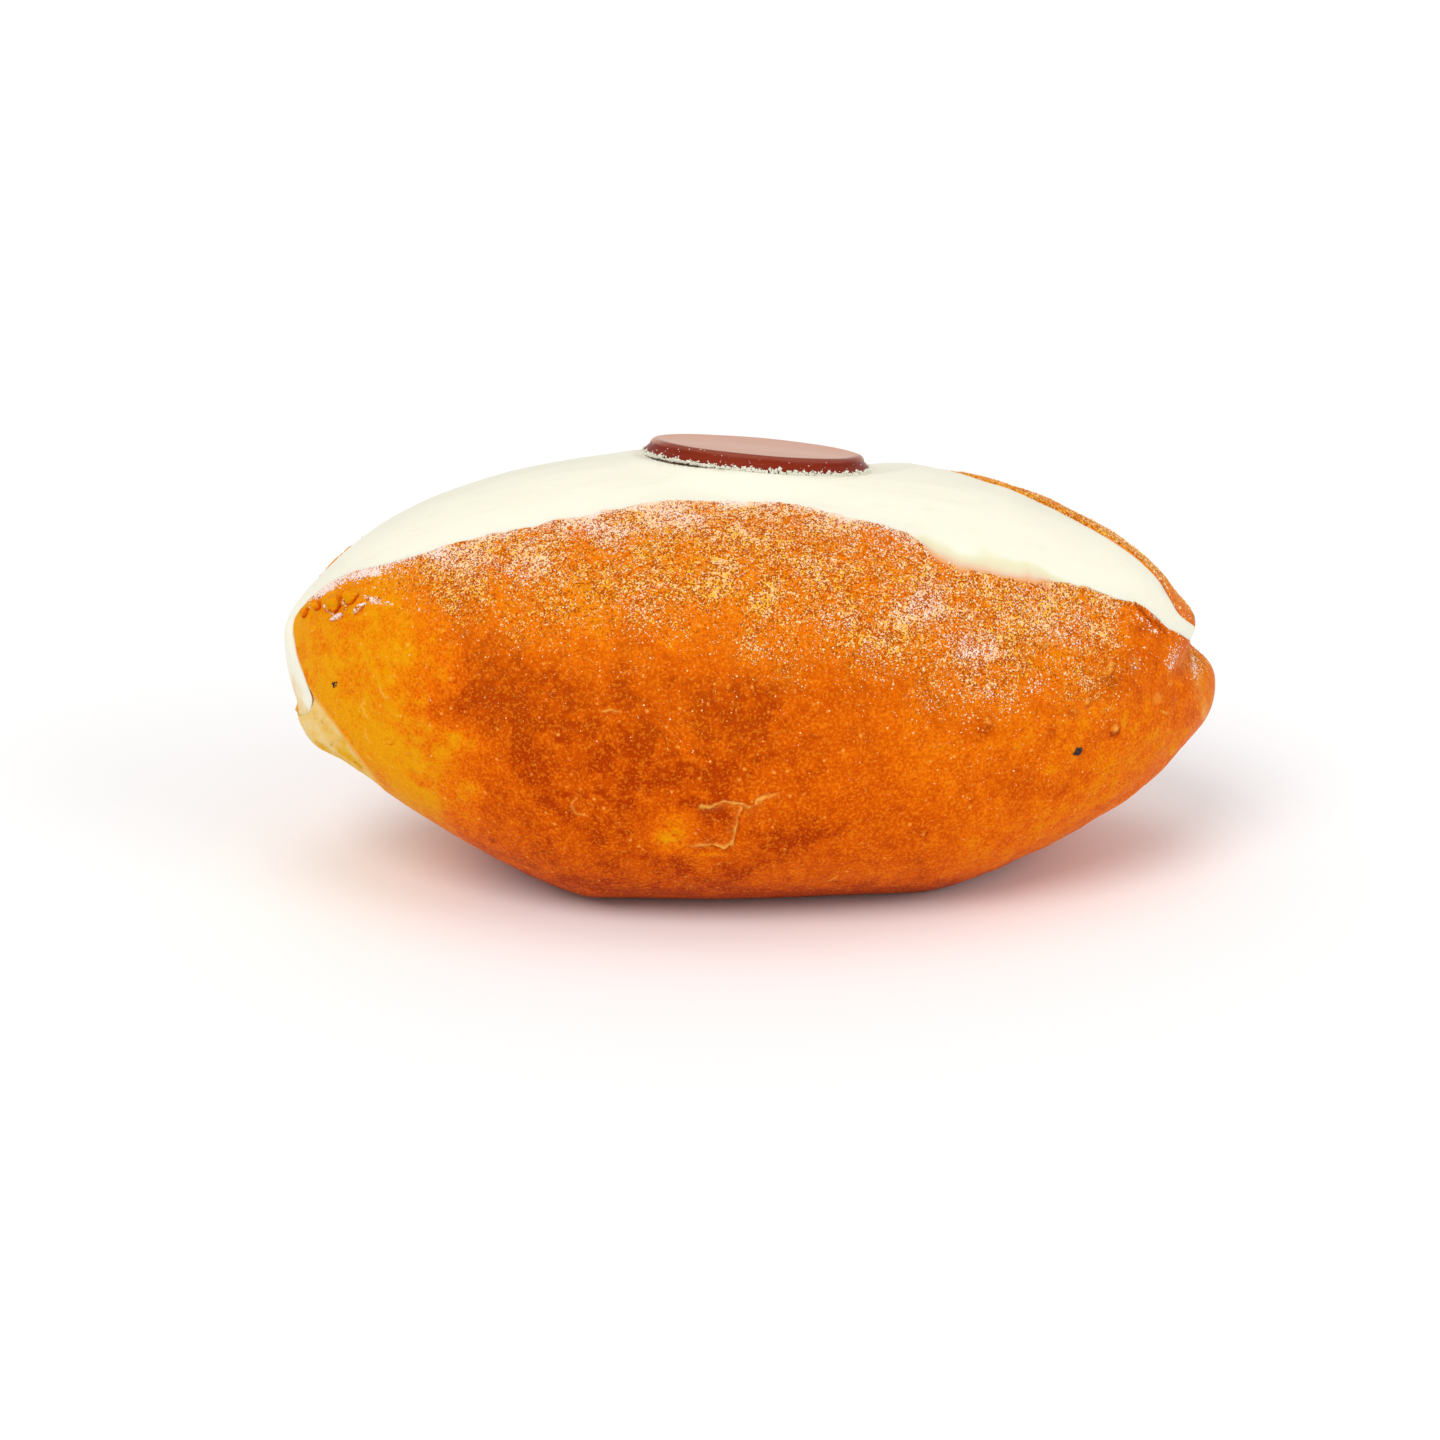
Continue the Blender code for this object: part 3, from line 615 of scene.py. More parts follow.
def disc_rings():
    """Rings of the chocolate disc from the middle of the underside to the middle of the top."""
    inner, lower = DISC_TOP_RADIUS - DISC_EDGE, DISC_THICKNESS - DISC_EDGE
    profile = [(8.0, 0.0), (14.0, 0.0), (DISC_RADIUS - 0.35, 0.0), (DISC_RADIUS - 0.1, 0.1),
               (DISC_RADIUS, 0.35)]
    profile += [(spread(DISC_RADIUS, DISC_TOP_RADIUS, u), spread(0.35, lower, u)) for u in (0.33, 0.67)]
    profile += [(inner + DISC_EDGE * math.sin(a), lower + DISC_EDGE * math.cos(a))
                for a in np.radians(np.linspace(90, 4, 9))]
    profile += [(r, DISC_THICKNESS - 0.12 * fade(r, inner - 0.3, inner - 1.6)) for r in
                (inner - 0.3, inner - 0.7, inner - 1.1, inner - 1.6, 11.0, 7.0, 3.0)]
    turn = np.linspace(0, 2 * np.pi, DISC_SEGMENTS, endpoint=False)
    rings = np.array([[(r * np.cos(a), r * np.sin(a), h) for a in turn] for r, h in profile])
    rings[..., :2] *= 1 + 0.004 * lumps(rings * (1, 1, 0), 9, 4)[..., None]
    rings[..., 2] += 0.05 * lumps(rings, 7, 6) * (rings[..., 2] > 0.2)
    return rings


# ---- meshes

def ring_faces(count, width):
    i, j = np.meshgrid(np.arange(count - 1), np.arange(width), indexing="ij")
    k = (j + 1) % width
    return np.stack([i * width + j, i * width + k, (i + 1) * width + k, (i + 1) * width + j], -1).reshape(-1, 4)


def set_mark(thing, key, values):
    layer = thing.data.attributes.new(key, "FLOAT", "POINT")
    layer.data.foreach_set("value", np.asarray(values, np.float32).reshape(-1))


def mesh_piece(name, points, faces, material, smooth=True):
    mesh = bpy.data.meshes.new(name)
    mesh.from_pydata((np.asarray(points) * MM).tolist(), [], faces if isinstance(faces, list) else faces.tolist())
    if smooth:
        mesh.polygons.foreach_set("use_smooth", np.ones(len(mesh.polygons), bool))
    mesh.materials.append(material)
    mesh.update()
    thing = bpy.data.objects.new(name, mesh)
    bpy.context.scene.collection.objects.link(thing)
    if signed_volume(points, mesh) < 0:
        mesh.flip_normals()
    return thing


def signed_volume(points, mesh):
    mesh.calc_loop_triangles()
    corners = np.empty(len(mesh.loop_triangles) * 3, np.int32)
    mesh.loop_triangles.foreach_get("vertices", corners)
    a, b, c = np.asarray(points)[corners.reshape(-1, 3)].transpose(1, 0, 2)
    return float((np.cross(a, b) * c).sum())


def joined_rings(name, parts, material):
    """One mesh object from sets of rings, each closed with a point at both ends, with values per point."""
    points, faces, marks, total = [], [], {}, 0
    for rings, values in parts:
        count, width = rings.shape[:2]
        points.append(np.concatenate([rings.reshape(-1, 3), [rings[0].mean(0), rings[-1].mean(0)]]))
        own = ring_faces(count, width).tolist()
        tail = (count - 1) * width
        for j in range(width):
            k = (j + 1) % width
            own.append((k, j, count * width))
            own.append((tail + j, tail + k, count * width + 1))
        faces += [tuple(v + total for v in face) for face in own]
        for key, value in values.items():
            marks.setdefault(key, []).append(np.concatenate([value.reshape(-1), [value[0].mean(), value[-1].mean()]]))
        total += len(points[-1])
    thing = mesh_piece(name, np.concatenate(points), faces, material)
    for key, value in marks.items():
        set_mark(thing, key, np.concatenate(value))
    return thing


def merged(parts):
    """Points and faces of several meshes as one."""
    points, faces, total = [], [], 0
    for own_points, own_faces in parts:
        points.append(own_points)
        faces.append(own_faces + total)
        total += len(own_points)
    return np.concatenate(points), np.concatenate(faces)


def ring_cells(rings, columns):
    """Centre, outward normal and area of each cell of the first columns of a set of rings."""
    a, b = rings[:-1, :columns - 1], rings[:-1, 1:columns]
    c, d = rings[1:, 1:columns], rings[1:, :columns - 1]
    across = np.cross(c - a, d - b)
    area = np.linalg.norm(across, axis=-1) / 2
    normal = across / np.maximum(area * 2, 1e-9)[..., None]
    centre = (a + b + c + d) / 4
    outward = np.sign(((centre - MIDDLE) * normal).sum(-1, keepdims=True))
    return centre, normal * outward, area, (a, b, c, d)


def crumbs(centres, normals, sizes, sink, rng):
    """Irregular eight-sided grains lying on a surface, as points and faces."""
    count = len(centres)
    shape = np.array([(1, 0, 0), (-1, 0, 0), (0, 1, 0), (0, -1, 0), (0, 0, 1), (0, 0, -1)], float)
    local = shape[None] * rng.uniform(0.6, 1.3, (count, 6, 1)) * sizes[:, None, None]
    axis = unit(rng.normal(size=(count, 3)))
    other = unit(np.cross(axis, rng.normal(size=(count, 3))))
    third = np.cross(axis, other)
    points = local[..., :1] * axis[:, None] + local[..., 1:2] * other[:, None] + local[..., 2:] * third[:, None]
    points = points + (centres + normals * (sizes * sink)[:, None])[:, None]
    tri = np.array([(0, 2, 4), (2, 1, 4), (1, 3, 4), (3, 0, 4), (2, 0, 5), (1, 2, 5), (3, 1, 5), (0, 3, 5)])
    faces = tri[None] + 6 * np.arange(count)[:, None, None]
    return points.reshape(-1, 3), faces.reshape(-1, 3)


def pick_cells(cells, chance, count, rng):
    """Random points on cells, with chance per unit area."""
    _, normal, area, (a, b, c, d) = cells
    weight = (area * chance).reshape(-1)
    total = np.cumsum(weight)
    pick = np.searchsorted(total, rng.uniform(0, total[-1], count))
    u, v = rng.uniform(0, 1, (2, count, 1))
    corner = [side.reshape(-1, 3)[pick] for side in (a, b, c, d)]
    point = (corner[0] * (1 - u) + corner[1] * u) * (1 - v) + (corner[3] * (1 - u) + corner[2] * u) * v
    return point, normal.reshape(-1, 3)[pick], pick


# ---- fine forms on the crust

class Skin:
    """The near side of the crust and cream, for laying small forms on it."""

    def __init__(self, sheets):
        points, faces = merged([(rings.reshape(-1, 3), ring_faces(*rings.shape[:2])) for rings in sheets])
        self.tree = BVHTree.FromPolygons(points.tolist(), faces.tolist())

    def at(self, x, z):
        """Points at x and z, and their outward directions."""
        x, z = np.broadcast_arrays(np.asarray(x, float), np.asarray(z, float))
        points = np.zeros(x.shape + (3,))
        normals = np.zeros(x.shape + (3,))
        for k in np.ndindex(x.shape):
            hit, normal, _, _ = self.tree.ray_cast(Vector((x[k], -80, z[k])), Vector((0, 1, 0)))
            if hit is None:
                hit, normal, _, _ = self.tree.find_nearest(Vector((x[k], -5, z[k])))
            points[k] = hit
            normals[k] = normal if normal.y < 0 else -normal
        return points, normals


def near_trail(x, z, trail):
    """Distance to a broken line, which side of it a point is on, and how far along it."""
    best = np.full(x.shape, 1e9)
    side = np.zeros(x.shape)
    along = np.zeros(x.shape)
    count = len(trail) - 1
    for k, ((ax, az), (bx, bz)) in enumerate(zip(trail, trail[1:])):
        u = np.clip(((x - ax) * (bx - ax) + (z - az) * (bz - az)) / ((bx - ax) ** 2 + (bz - az) ** 2), 0, 1)
        gap = np.hypot(x - ax - u * (bx - ax), z - az - u * (bz - az))
        closer = gap < best
        turn = np.sign((bx - ax) * (z - az) - (bz - az) * (x - ax))
        best = np.where(closer, gap, best)
        side = np.where(closer, turn, side)
        along = np.where(closer, (k + u) / count, along)
    return best, side, along


def flake_form(x, z):
    """Height, extra browning with a painted shadow along the outer side of its edges, and paleness of the torn flake.
    """
    place = np.stack([x, np.zeros_like(x), z], -1)
    x = x + 0.2 * lumps(place, 0.9, 51) + 0.08 * lumps(place, 0.35, 54)
    z = z + 0.2 * lumps(place, 0.9, 52) + 0.08 * lumps(place, 0.35, 55)
    height, bake_and_shade, pale = np.zeros((3,) + x.shape)
    broken = 0.65 + 0.5 * lumps(place, 0.8, 56)
    for trail, stand, width in ((FLAKE_TOP, 0.32, 0.26), (FLAKE_SIDE, 0.5, 0.36)):
        gap, side, along = near_trail(x, z, trail)
        ends = (fade(along, 0, 0.06) * (1 - 0.8 * fade(along, 0.75, 1)) + 0.15) * broken
        line = hill(gap, 0, width * broken) * ends
        height = np.maximum(height, stand * line)
        slope = np.exp(-gap / 0.7) * (side < 0) * ends
        height = np.maximum(height, 0.5 * stand * slope)
        # painted shadow: a dark line just outside each raised edge
        bake_and_shade += 0.7 * hill(gap, 0.3, 0.13) * (side > 0) * ends
        pale = np.maximum(pale, 1.1 * line + 0.25 * slope)
    inside = np.exp(-((x + 7.8) / 2.6) ** 4 - ((z - 18.6) / 3.0) ** 4)
    dark = np.exp(-oval(x + 11.2, z - 22.3, 0.9, 0.7))
    bake_and_shade += 0.16 * inside + 1.2 * dark * fade(lumps(place, 0.5, 57), -0.2, 0.4)
    bake_and_shade -= 0.3 * np.exp(-oval(x + 13.4, z - 17.2, 3.2, 3.6))
    bake_and_shade -= 0.35 * np.exp(-oval(x + 8.5, z - 13.6, 4.0, 0.8))
    bake_and_shade += 0.12 * lumps(place, 0.8, 58) * inside
    height += 0.05 * lumps(place, 0.6, 53) * (1 - dark) - 0.05 * inside
    lump = np.exp(-oval(x + 9.6, z - 21.5, 0.45, 0.4) ** 2)
    return height + 0.25 * lump, bake_and_shade, np.clip(pale + 0.6 * lump, 0, 1)


def blister_form(x, z):
    """Height, painted shade round the blisters, and paleness of the blisters and streaks with a painted highlight on
    each blister.
    """
    place = np.stack([x, np.zeros_like(x), z], -1)
    x = x + 0.15 * lumps(place, 0.6, 61)
    z = z + 0.15 * lumps(place, 0.6, 62)
    height, bake_and_shade, pale = np.zeros((3,) + x.shape)
    for cx, cz, wide, tall, lean, rise in BLISTERS:
        dx, dz = x - cx - lean * (z - cz), z - cz
        away = np.hypot(dx / wide, dz / tall)
        dome = np.clip(1 - away ** 2, 0, 1) ** 0.6
        height = np.maximum(height, rise * dome * (1 + 0.35 * lumps(place, 0.35, 63)))
        # painted shadow: a dark ring round each blister, strongest on its lower right, away from the key light
        bake_and_shade += 1.3 * rise * hill(away, 1.3, 0.35) * fade(dx / wide - dz / tall, -1.5, 1)
        # painted highlight: a pale spot on each blister's upper left, facing the key light
        pale = np.maximum(pale, 2.2 * rise * np.exp(-(dx / wide + 0.25) ** 2 * 3 - (dz / tall - 0.3) ** 2 * 2.5))
    for trail in STREAKS:
        gap, _, along = near_trail(x, z, trail)
        line = hill(gap, 0, 0.15) * (0.5 + 0.5 * np.sin(np.pi * np.clip(along, 0, 1)))
        height = np.maximum(height, 0.2 * line)
        pale = np.maximum(pale, 0.9 * line)
    ring = np.hypot((x + 26.6) / 1.5, (z - 20.9) / 1.4)
    arc = hill(ring, 1, 0.13) * fade(-(x + 26.6 + 0.6 * (z - 20.9)), -0.6, 0.8)
    return np.maximum(height, 0.2 * arc), bake_and_shade, np.clip(np.maximum(pale, 0.5 * arc), 0, 1)


def crust_patch(skin, box, step, form):
    """Rings of a thin slab laid into the crust, with its marks; form gives what stands out of it."""
    x, z = np.meshgrid(np.arange(box[0], box[1], step), np.arange(box[2], box[3], step), indexing="ij")
    base, _ = skin.at(x, z)
    normal = unit(np.cross(np.gradient(base, axis=1), np.gradient(base, axis=0)))
    normal *= -np.sign(normal[..., 1:2])
    height, bake_and_shade, pale = form(x, z)
    border = np.minimum(np.minimum(x - box[0], box[1] - x), np.minimum(z - box[2], box[3] - z))
    edge = fade(border, 0.1, 1.2)
    top = base + normal * ((height + 0.07) * edge - 0.05)[..., None]
    marks = surface_marks(base, normal[..., 2], NO_LIP)
    marks["bake_and_shade"] = np.clip(marks["bake_and_shade"] + bake_and_shade * edge, 0, 1)
    marks["pale"] = pale * edge
    below = {key: value[:, ::-1] for key, value in marks.items()}
    rings = np.concatenate([top, (base - 0.45 * normal)[:, ::-1]], 1)
    return rings, {key: np.concatenate([value, below[key]], 1) for key, value in marks.items()}


def surface_marks(p, upward, lip):
    """Values for the crust's material on a small form that lies on the crust."""
    dust, white = sugar_cover(p, upward, lip)
    return {"bake_and_shade": np.clip(crust_bake_and_shade(p, lip), 0, 1), "dust": dust, "white": white,
            "pale": np.zeros(p.shape[:-1]), "crumb": np.zeros(p.shape[:-1])}


def dough_lumps(skin, places, rng):
    """Closed rounded lumps half sunk in the crust, as rings per lump with their marks."""
    lat = np.radians(np.linspace(-88, 88, 26))[:, None]
    lon = np.radians(np.linspace(0, 360, 36, endpoint=False))[None, :]
    ball = np.stack([np.cos(lat) * np.cos(lon), np.cos(lat) * np.sin(lon), np.sin(lat) + 0 * lon], -1)
    for x, z, a, b, c, slope, sugared in places:
        middle, out = skin.at(x, z)
        turn = math.radians(slope)
        along = unit(np.array([math.cos(turn), 0, math.sin(turn)]))
        along = unit(along - out * (along @ out))
        axes = np.array([along, out, np.cross(along, out)])
        broad, fine = int(rng.integers(90)), int(rng.integers(90))
        uneven = 0.25 * lumps(ball * 2, 1.3, broad) + 0.14 * lumps(ball * 4, 1.1, fine)
        shape = ball * (1 + uneven[..., None])
        rings = middle + 0.1 * b * out + (shape * (a, b, c)) @ axes
        upward = (shape @ axes)[..., 2]
        marks = surface_marks(rings, upward, NO_LIP)
        # painted shade: darker in the crevice where each lump meets the crust
        painted_crevice_shade = hill((rings - middle) @ out, 0.15, 0.35)
        marks["bake_and_shade"] = np.clip(marks["bake_and_shade"] + 0.75 * painted_crevice_shade * (1 - sugared) - 0.08, 0, 1)
        top = fade(upward, 0.1, 0.9)
        marks["dust"] = np.clip(np.maximum(marks["dust"], 0.25 * top) * (1 - sugared) + 0.9 * sugared, 0, 1)
        marks["white"] = np.clip(0.3 * top + sugared, 0, 1)
        marks["pale"] = np.full(rings.shape[:-1], 0.25 * sugared)
        yield rings, marks


# ---- materials

def new_group(name, inputs, outputs):
    group = bpy.data.node_groups.new(name, "ShaderNodeTree")
    for label, kind, value in inputs:
        socket = group.interface.new_socket(label, in_out="INPUT", socket_type=kind)
        if value is not None:
            socket.default_value = value
    for label, kind in outputs:
        group.interface.new_socket(label, in_out="OUTPUT", socket_type=kind)
    start = group.nodes.new("NodeGroupInput")
    end = group.nodes.new("NodeGroupOutput")
    return group, start, end


class Wires:
    """Short calls for adding and joining shader nodes in one tree."""

    def __init__(self, tree):
        self.tree = tree

    def add(self, kind, **settings):
        node = self.tree.nodes.new(kind)
        for key, value in settings.items():
            setattr(node, key, value)
        return node

    def join(self, value, socket):
        if isinstance(value, bpy.types.NodeSocket):
            self.tree.links.new(value, socket)
        else:
            socket.default_value = value

    def math(self, operation, a, b, clamp=False):
        node = self.add("ShaderNodeMath", operation=operation, use_clamp=clamp)
        self.join(a, node.inputs[0])
        self.join(b, node.inputs[1])
        return node.outputs[0]

    def times(self, a, b):
        return self.math("MULTIPLY", a, b)

    def plus(self, a, b, clamp=False):
        return self.math("ADD", a, b, clamp)

    def span(self, value, low, high, to_low=0.0, to_high=1.0):
        node = self.add("ShaderNodeMapRange", interpolation_type="SMOOTHSTEP")
        self.join(value, node.inputs["Value"])
        for key, number in (("From Min", low), ("From Max", high), ("To Min", to_low), ("To Max", to_high)):
            self.join(number, node.inputs[key])
        return node.outputs["Result"]

    def noise(self, where, scale, detail, roughness=0.5):
        node = self.add("ShaderNodeTexNoise")
        self.join(where, node.inputs["Vector"])
        self.join(scale, node.inputs["Scale"])
        node.inputs["Detail"].default_value = detail
        node.inputs["Roughness"].default_value = roughness
        return node.outputs["Fac"]

    def mix(self, share, a, b):
        node = self.add("ShaderNodeMix", data_type="RGBA")
        self.join(share, node.inputs["Factor"])
        self.join(a, node.inputs["A"])
        self.join(b, node.inputs["B"])
        return node.outputs["Result"]

    def tint(self, colour, share, strength, other):
        """Colour with another laid over it, by share and strength."""
        return self.mix(self.times(share, strength), colour, (*other, 1))

    def mark(self, name):
        return self.add("ShaderNodeAttribute", attribute_name=name).outputs["Fac"]

    def place(self, group, **values):
        node = self.add("ShaderNodeGroup", node_tree=group)
        for key, value in values.items():
            self.join(value, node.inputs[key.replace("_", " ")])
        return node.outputs


def powder_group():
    """Fine powder caught in specks: more of it as Cover rises."""
    group, start, end = new_group(
        "powder_specks",
        (("Vector", "NodeSocketVector", None), ("Cover", "NodeSocketFloat", 0.5),
         ("Speck Scale", "NodeSocketFloat", 2600.0), ("Softness", "NodeSocketFloat", 0.06)),
        (("Mask", "NodeSocketFloat"), ("Height", "NodeSocketFloat")))
    w = Wires(group)
    fine = w.noise(start.outputs["Vector"], start.outputs["Speck Scale"], 1.0, 0.6)
    half = w.times(start.outputs["Speck Scale"], 0.31)
    coarse = w.noise(start.outputs["Vector"], half, 1.0)
    speck = w.plus(w.times(fine, 0.7), w.times(coarse, 0.3))
    limit = w.math("SUBTRACT", 0.72, w.times(start.outputs["Cover"], 0.42))
    mask = w.span(speck, limit, w.plus(limit, start.outputs["Softness"]))
    w.join(mask, end.inputs["Mask"])
    w.join(w.times(mask, fine), end.inputs["Height"])
    return group


def grain_group():
    """Uneven fine relief and shade of a soft baked or whipped surface."""
    group, start, end = new_group(
        "fine_grain",
        (("Vector", "NodeSocketVector", None), ("Grain Scale", "NodeSocketFloat", 1500.0),
         ("Stretch", "NodeSocketFloat", 1.0)),
        (("Height", "NodeSocketFloat"), ("Shade", "NodeSocketFloat")))
    w = Wires(group)
    stretch = w.add("ShaderNodeCombineXYZ")
    w.join(start.outputs["Stretch"], stretch.inputs["X"])
    stretch.inputs["Y"].default_value = 1.0
    stretch.inputs["Z"].default_value = 1.0
    where = w.add("ShaderNodeVectorMath", operation="MULTIPLY")
    w.join(start.outputs["Vector"], where.inputs[0])
    w.join(stretch.outputs[0], where.inputs[1])
    fine = w.noise(where.outputs[0], start.outputs["Grain Scale"], 3.0, 0.6)
    broad = w.noise(where.outputs[0], w.times(start.outputs["Grain Scale"], 0.12), 3.0)
    w.join(w.plus(w.times(fine, 0.6), w.times(broad, 0.4)), end.inputs["Height"])
    w.join(broad, end.inputs["Shade"])
    return group


def new_material(name):
    material = bpy.data.materials.new(name)
    material.use_nodes = True
    wires = Wires(material.node_tree)
    shader = material.node_tree.nodes["Principled BSDF"]
    where = wires.add("ShaderNodeTexCoord").outputs["Object"]
    return material, wires, shader, where


def uneven_gloss(w, shader, fine, low, high):
    """Roughness that follows the shade of the fine grain."""
    w.join(w.span(fine["Shade"], 0.3, 0.7, low, high), shader.inputs["Roughness"])


def add_bump(w, shader, height, strength, distance):
    bump = w.add("ShaderNodeBump")
    bump.inputs["Strength"].default_value = strength
    bump.inputs["Distance"].default_value = distance
    w.join(height, bump.inputs["Height"])
    w.join(bump.outputs["Normal"], shader.inputs["Normal"])


def ramp(w, value, stops):
    node = w.add("ShaderNodeValToRGB")
    w.join(value, node.inputs["Fac"])
    band = node.color_ramp
    band.elements[0].position, band.elements[0].color = stops[0][0], (*stops[0][1], 1)
    band.elements[1].position, band.elements[1].color = stops[-1][0], (*stops[-1][1], 1)
    for place, colour in stops[1:-1]:
        band.elements.new(place).color = (*colour, 1)
    return node.outputs["Color"]


def crust_material(powder, grain):
    material, w, shader, where = new_material("baked_crust")
    fine = w.place(grain, Vector=where, Grain_Scale=2300.0)
    mottle = w.noise(where, 130.0, 4.0, 0.62)
    # browning from its mark, which also carries painted shade in crevices, beside the blisters, outside the flake's
    # raised edges and along the foot
    bake_and_shade = w.plus(w.mark("bake_and_shade"), w.times(w.math("SUBTRACT", mottle, 0.5), 0.4))
    bake_and_shade = w.plus(bake_and_shade, w.times(w.math("SUBTRACT", fine["Shade"], 0.5), 0.5))
    pitting = w.noise(where, 900.0, 3.0, 0.6)
    bake_and_shade = w.plus(bake_and_shade, w.times(w.math("SUBTRACT", 0.5, pitting), 0.6), True)
    colour = ramp(w, bake_and_shade, ((0.0, (0.78, 0.32, 0.002)), (0.25, (0.78, 0.21, 0.001)), (0.5, (0.76, 0.135, 0.001)),
                            (0.75, (0.64, 0.092, 0.001)), (0.9, (0.54, 0.068, 0.001)), (1.0, (0.4, 0.034, 0.001))))
    speckle = w.noise(where, 2400.0, 2.0, 0.6)
    light = w.span(speckle, 0.52, 0.62)
    colour = w.tint(colour, light, 0.3, (0.97, 0.34, 0.015))
    pores = w.span(speckle, 0.46, 0.38)
    pitted = w.plus(w.times(w.mark("dust"), 0.3), 0.4)
    pitted = w.times(pitted, w.span(bake_and_shade, 0.0, 0.4, 0.3, 1.0))
    colour = w.tint(colour, pores, pitted, (0.4, 0.05, 0.001))
    gilded = w.times(w.mark("dust"), w.math("SUBTRACT", 1.0, w.mark("crumb")))
    colour = w.tint(colour, gilded, 0.6, (0.84, 0.27, 0.008))
    dots = w.add("ShaderNodeTexVoronoi", feature="F1")
    w.join(where, dots.inputs["Vector"])
    dots.inputs["Scale"].default_value = 620.0
    dot = w.span(dots.outputs["Distance"], 0.22, 0.1)
    sparse = w.span(w.noise(where, 900.0, 1.0), 0.5, 0.62)
    colour = w.tint(colour, w.times(dot, sparse), 0.5, (0.98, 0.45, 0.08))
    # pale skin, pale edges and lines, and the painted highlights on the blisters
    colour = w.tint(colour, w.mark("pale"), 0.6, (0.95, 0.52, 0.09))
    stale = w.mix(w.span(mottle, 0.4, 0.6), (0.76, 0.4, 0.012, 1), (0.82, 0.54, 0.16, 1))
    torn = w.mix(w.span(fine["Shade"], 0.42, 0.6, 0.0, 0.7), stale, (0.8, 0.62, 0.3, 1))
    colour = w.mix(w.mark("crumb"), colour, torn)
    # bare gaps in the sugar, from specks looked up to one side of the sugar's own
    aside = w.add("ShaderNodeVectorMath", operation="ADD")
    w.join(where, aside.inputs[0])
    aside.inputs[1].default_value = (0.31, 0.17, 0.23)
    cover = w.times(w.mark("dust"), 0.95)
    gaps = w.place(powder, Vector=aside.outputs[0], Cover=cover, Speck_Scale=3100.0, Softness=0.06)
    colour = w.tint(colour, gaps["Mask"], 0.85, (0.4, 0.06, 0.001))
    dryness = w.plus(w.mark("white"), w.span(w.noise(where, 1900.0, 1.0), 0.42, 0.62, -0.2, 0.55), True)
    sugar = w.mix(dryness, (0.98, 0.51, 0.05, 1), (1.0, 0.77, 0.55, 1))
    cover = w.times(w.mark("dust"), 0.76)
    dust = w.place(powder, Vector=where, Cover=cover, Speck_Scale=3400.0, Softness=0.04)
    colour = w.mix(w.times(dust["Mask"], 0.9), colour, sugar)
    heavy = w.times(w.mark("white"), w.mark("dust"))
    crystals = w.place(powder, Vector=where, Cover=heavy, Speck_Scale=2900.0, Softness=0.05)
    colour = w.tint(colour, crystals["Mask"], 0.9, (1.0, 0.83, 0.76))
    w.join(colour, shader.inputs["Base Color"])
    rough = w.span(w.plus(dust["Mask"], w.mark("crumb")), 0.0, 1.0, 0.4, 0.85)
    w.join(rough, shader.inputs["Roughness"])
    shader.inputs["Specular IOR Level"].default_value = 0.02
    shader.inputs["Specular Tint"].default_value = (1.0, 0.55, 0.15, 1)
    height = w.plus(w.times(fine["Height"], 0.7), w.times(dust["Height"], 0.8))
    height = w.plus(height, w.times(pitting, 1.6))
    add_bump(w, shader, height, 0.9, 0.00022)
    return material


def cream_material(grain):
    material, w, shader, where = new_material("whipped_cream")
    fine = w.place(grain, Vector=where, Grain_Scale=1100.0, Stretch=0.25)
    colour = w.mix(fine["Shade"], (0.85, 0.82, 0.665, 1), (0.9, 0.87, 0.72, 1))
    streak = w.place(grain, Vector=where, Grain_Scale=700.0, Stretch=0.15)
    colour = w.mix(w.span(streak["Height"], 0.55, 0.66, 0.0, 0.3), colour, (0.79, 0.77, 0.57, 1))
    # cream over the near lip: the crust's colour showing through thin cream, and painted shade in the greenish and
    # pinkish band along the lip
    film_and_shade = ramp(w, w.mark("thin"), ((0.0, (0.85, 0.82, 0.65)), (0.3, (0.79, 0.77, 0.52)), (0.55, (0.78, 0.69, 0.46)),
                                    (0.78, (0.79, 0.52, 0.34)), (0.92, (0.78, 0.36, 0.13)), (1.0, (0.76, 0.22, 0.02))))
    colour = w.mix(w.span(w.mark("thin"), 0.0, 0.4), colour, film_and_shade)
    colour = w.mix(w.mark("soaked"), colour, (0.8, 0.55, 0.19, 1))
    # painted shadow under the disc's front left edge, and a brownish smudge
    colour = w.mix(w.mark("hollow_shade_and_smudge"), colour, (0.2, 0.1, 0.02, 1))
    w.join(colour, shader.inputs["Base Color"])
    uneven_gloss(w, shader, fine, 0.42, 0.6)
    shader.inputs["Subsurface Weight"].default_value = 0.25
    shader.inputs["Subsurface Radius"].default_value = (0.004, 0.003, 0.002)
    shader.inputs["Subsurface Scale"].default_value = 0.5
    add_bump(w, shader, fine["Height"], 0.35, 0.00015)
    return material


def chocolate_material(grain, powder):
    material, w, shader, where = new_material("milk_chocolate")
    fine = w.place(grain, Vector=where, Grain_Scale=700.0, Stretch=0.4)
    colour = w.mix(fine["Shade"], (0.15, 0.008, 0.002, 1), (0.26, 0.03, 0.01, 1))
    # painted sheen: a lighter brown for the top of the disc
    painted_top_sheen = w.mix(fine["Shade"], (0.6, 0.31, 0.21, 1), (0.7, 0.4, 0.29, 1))
    colour = w.mix(w.mark("painted_top_sheen"), colour, painted_top_sheen)
    dust = w.place(powder, Vector=where, Cover=0.1, Speck_Scale=2300.0)
    colour = w.mix(dust["Mask"], colour, (0.9, 0.62, 0.5, 1))
    w.join(colour, shader.inputs["Base Color"])
    uneven_gloss(w, shader, fine, 0.28, 0.4)
    shader.inputs["Specular IOR Level"].default_value = 0.06
    add_bump(w, shader, fine["Height"], 0.25, 0.0001)
    return material


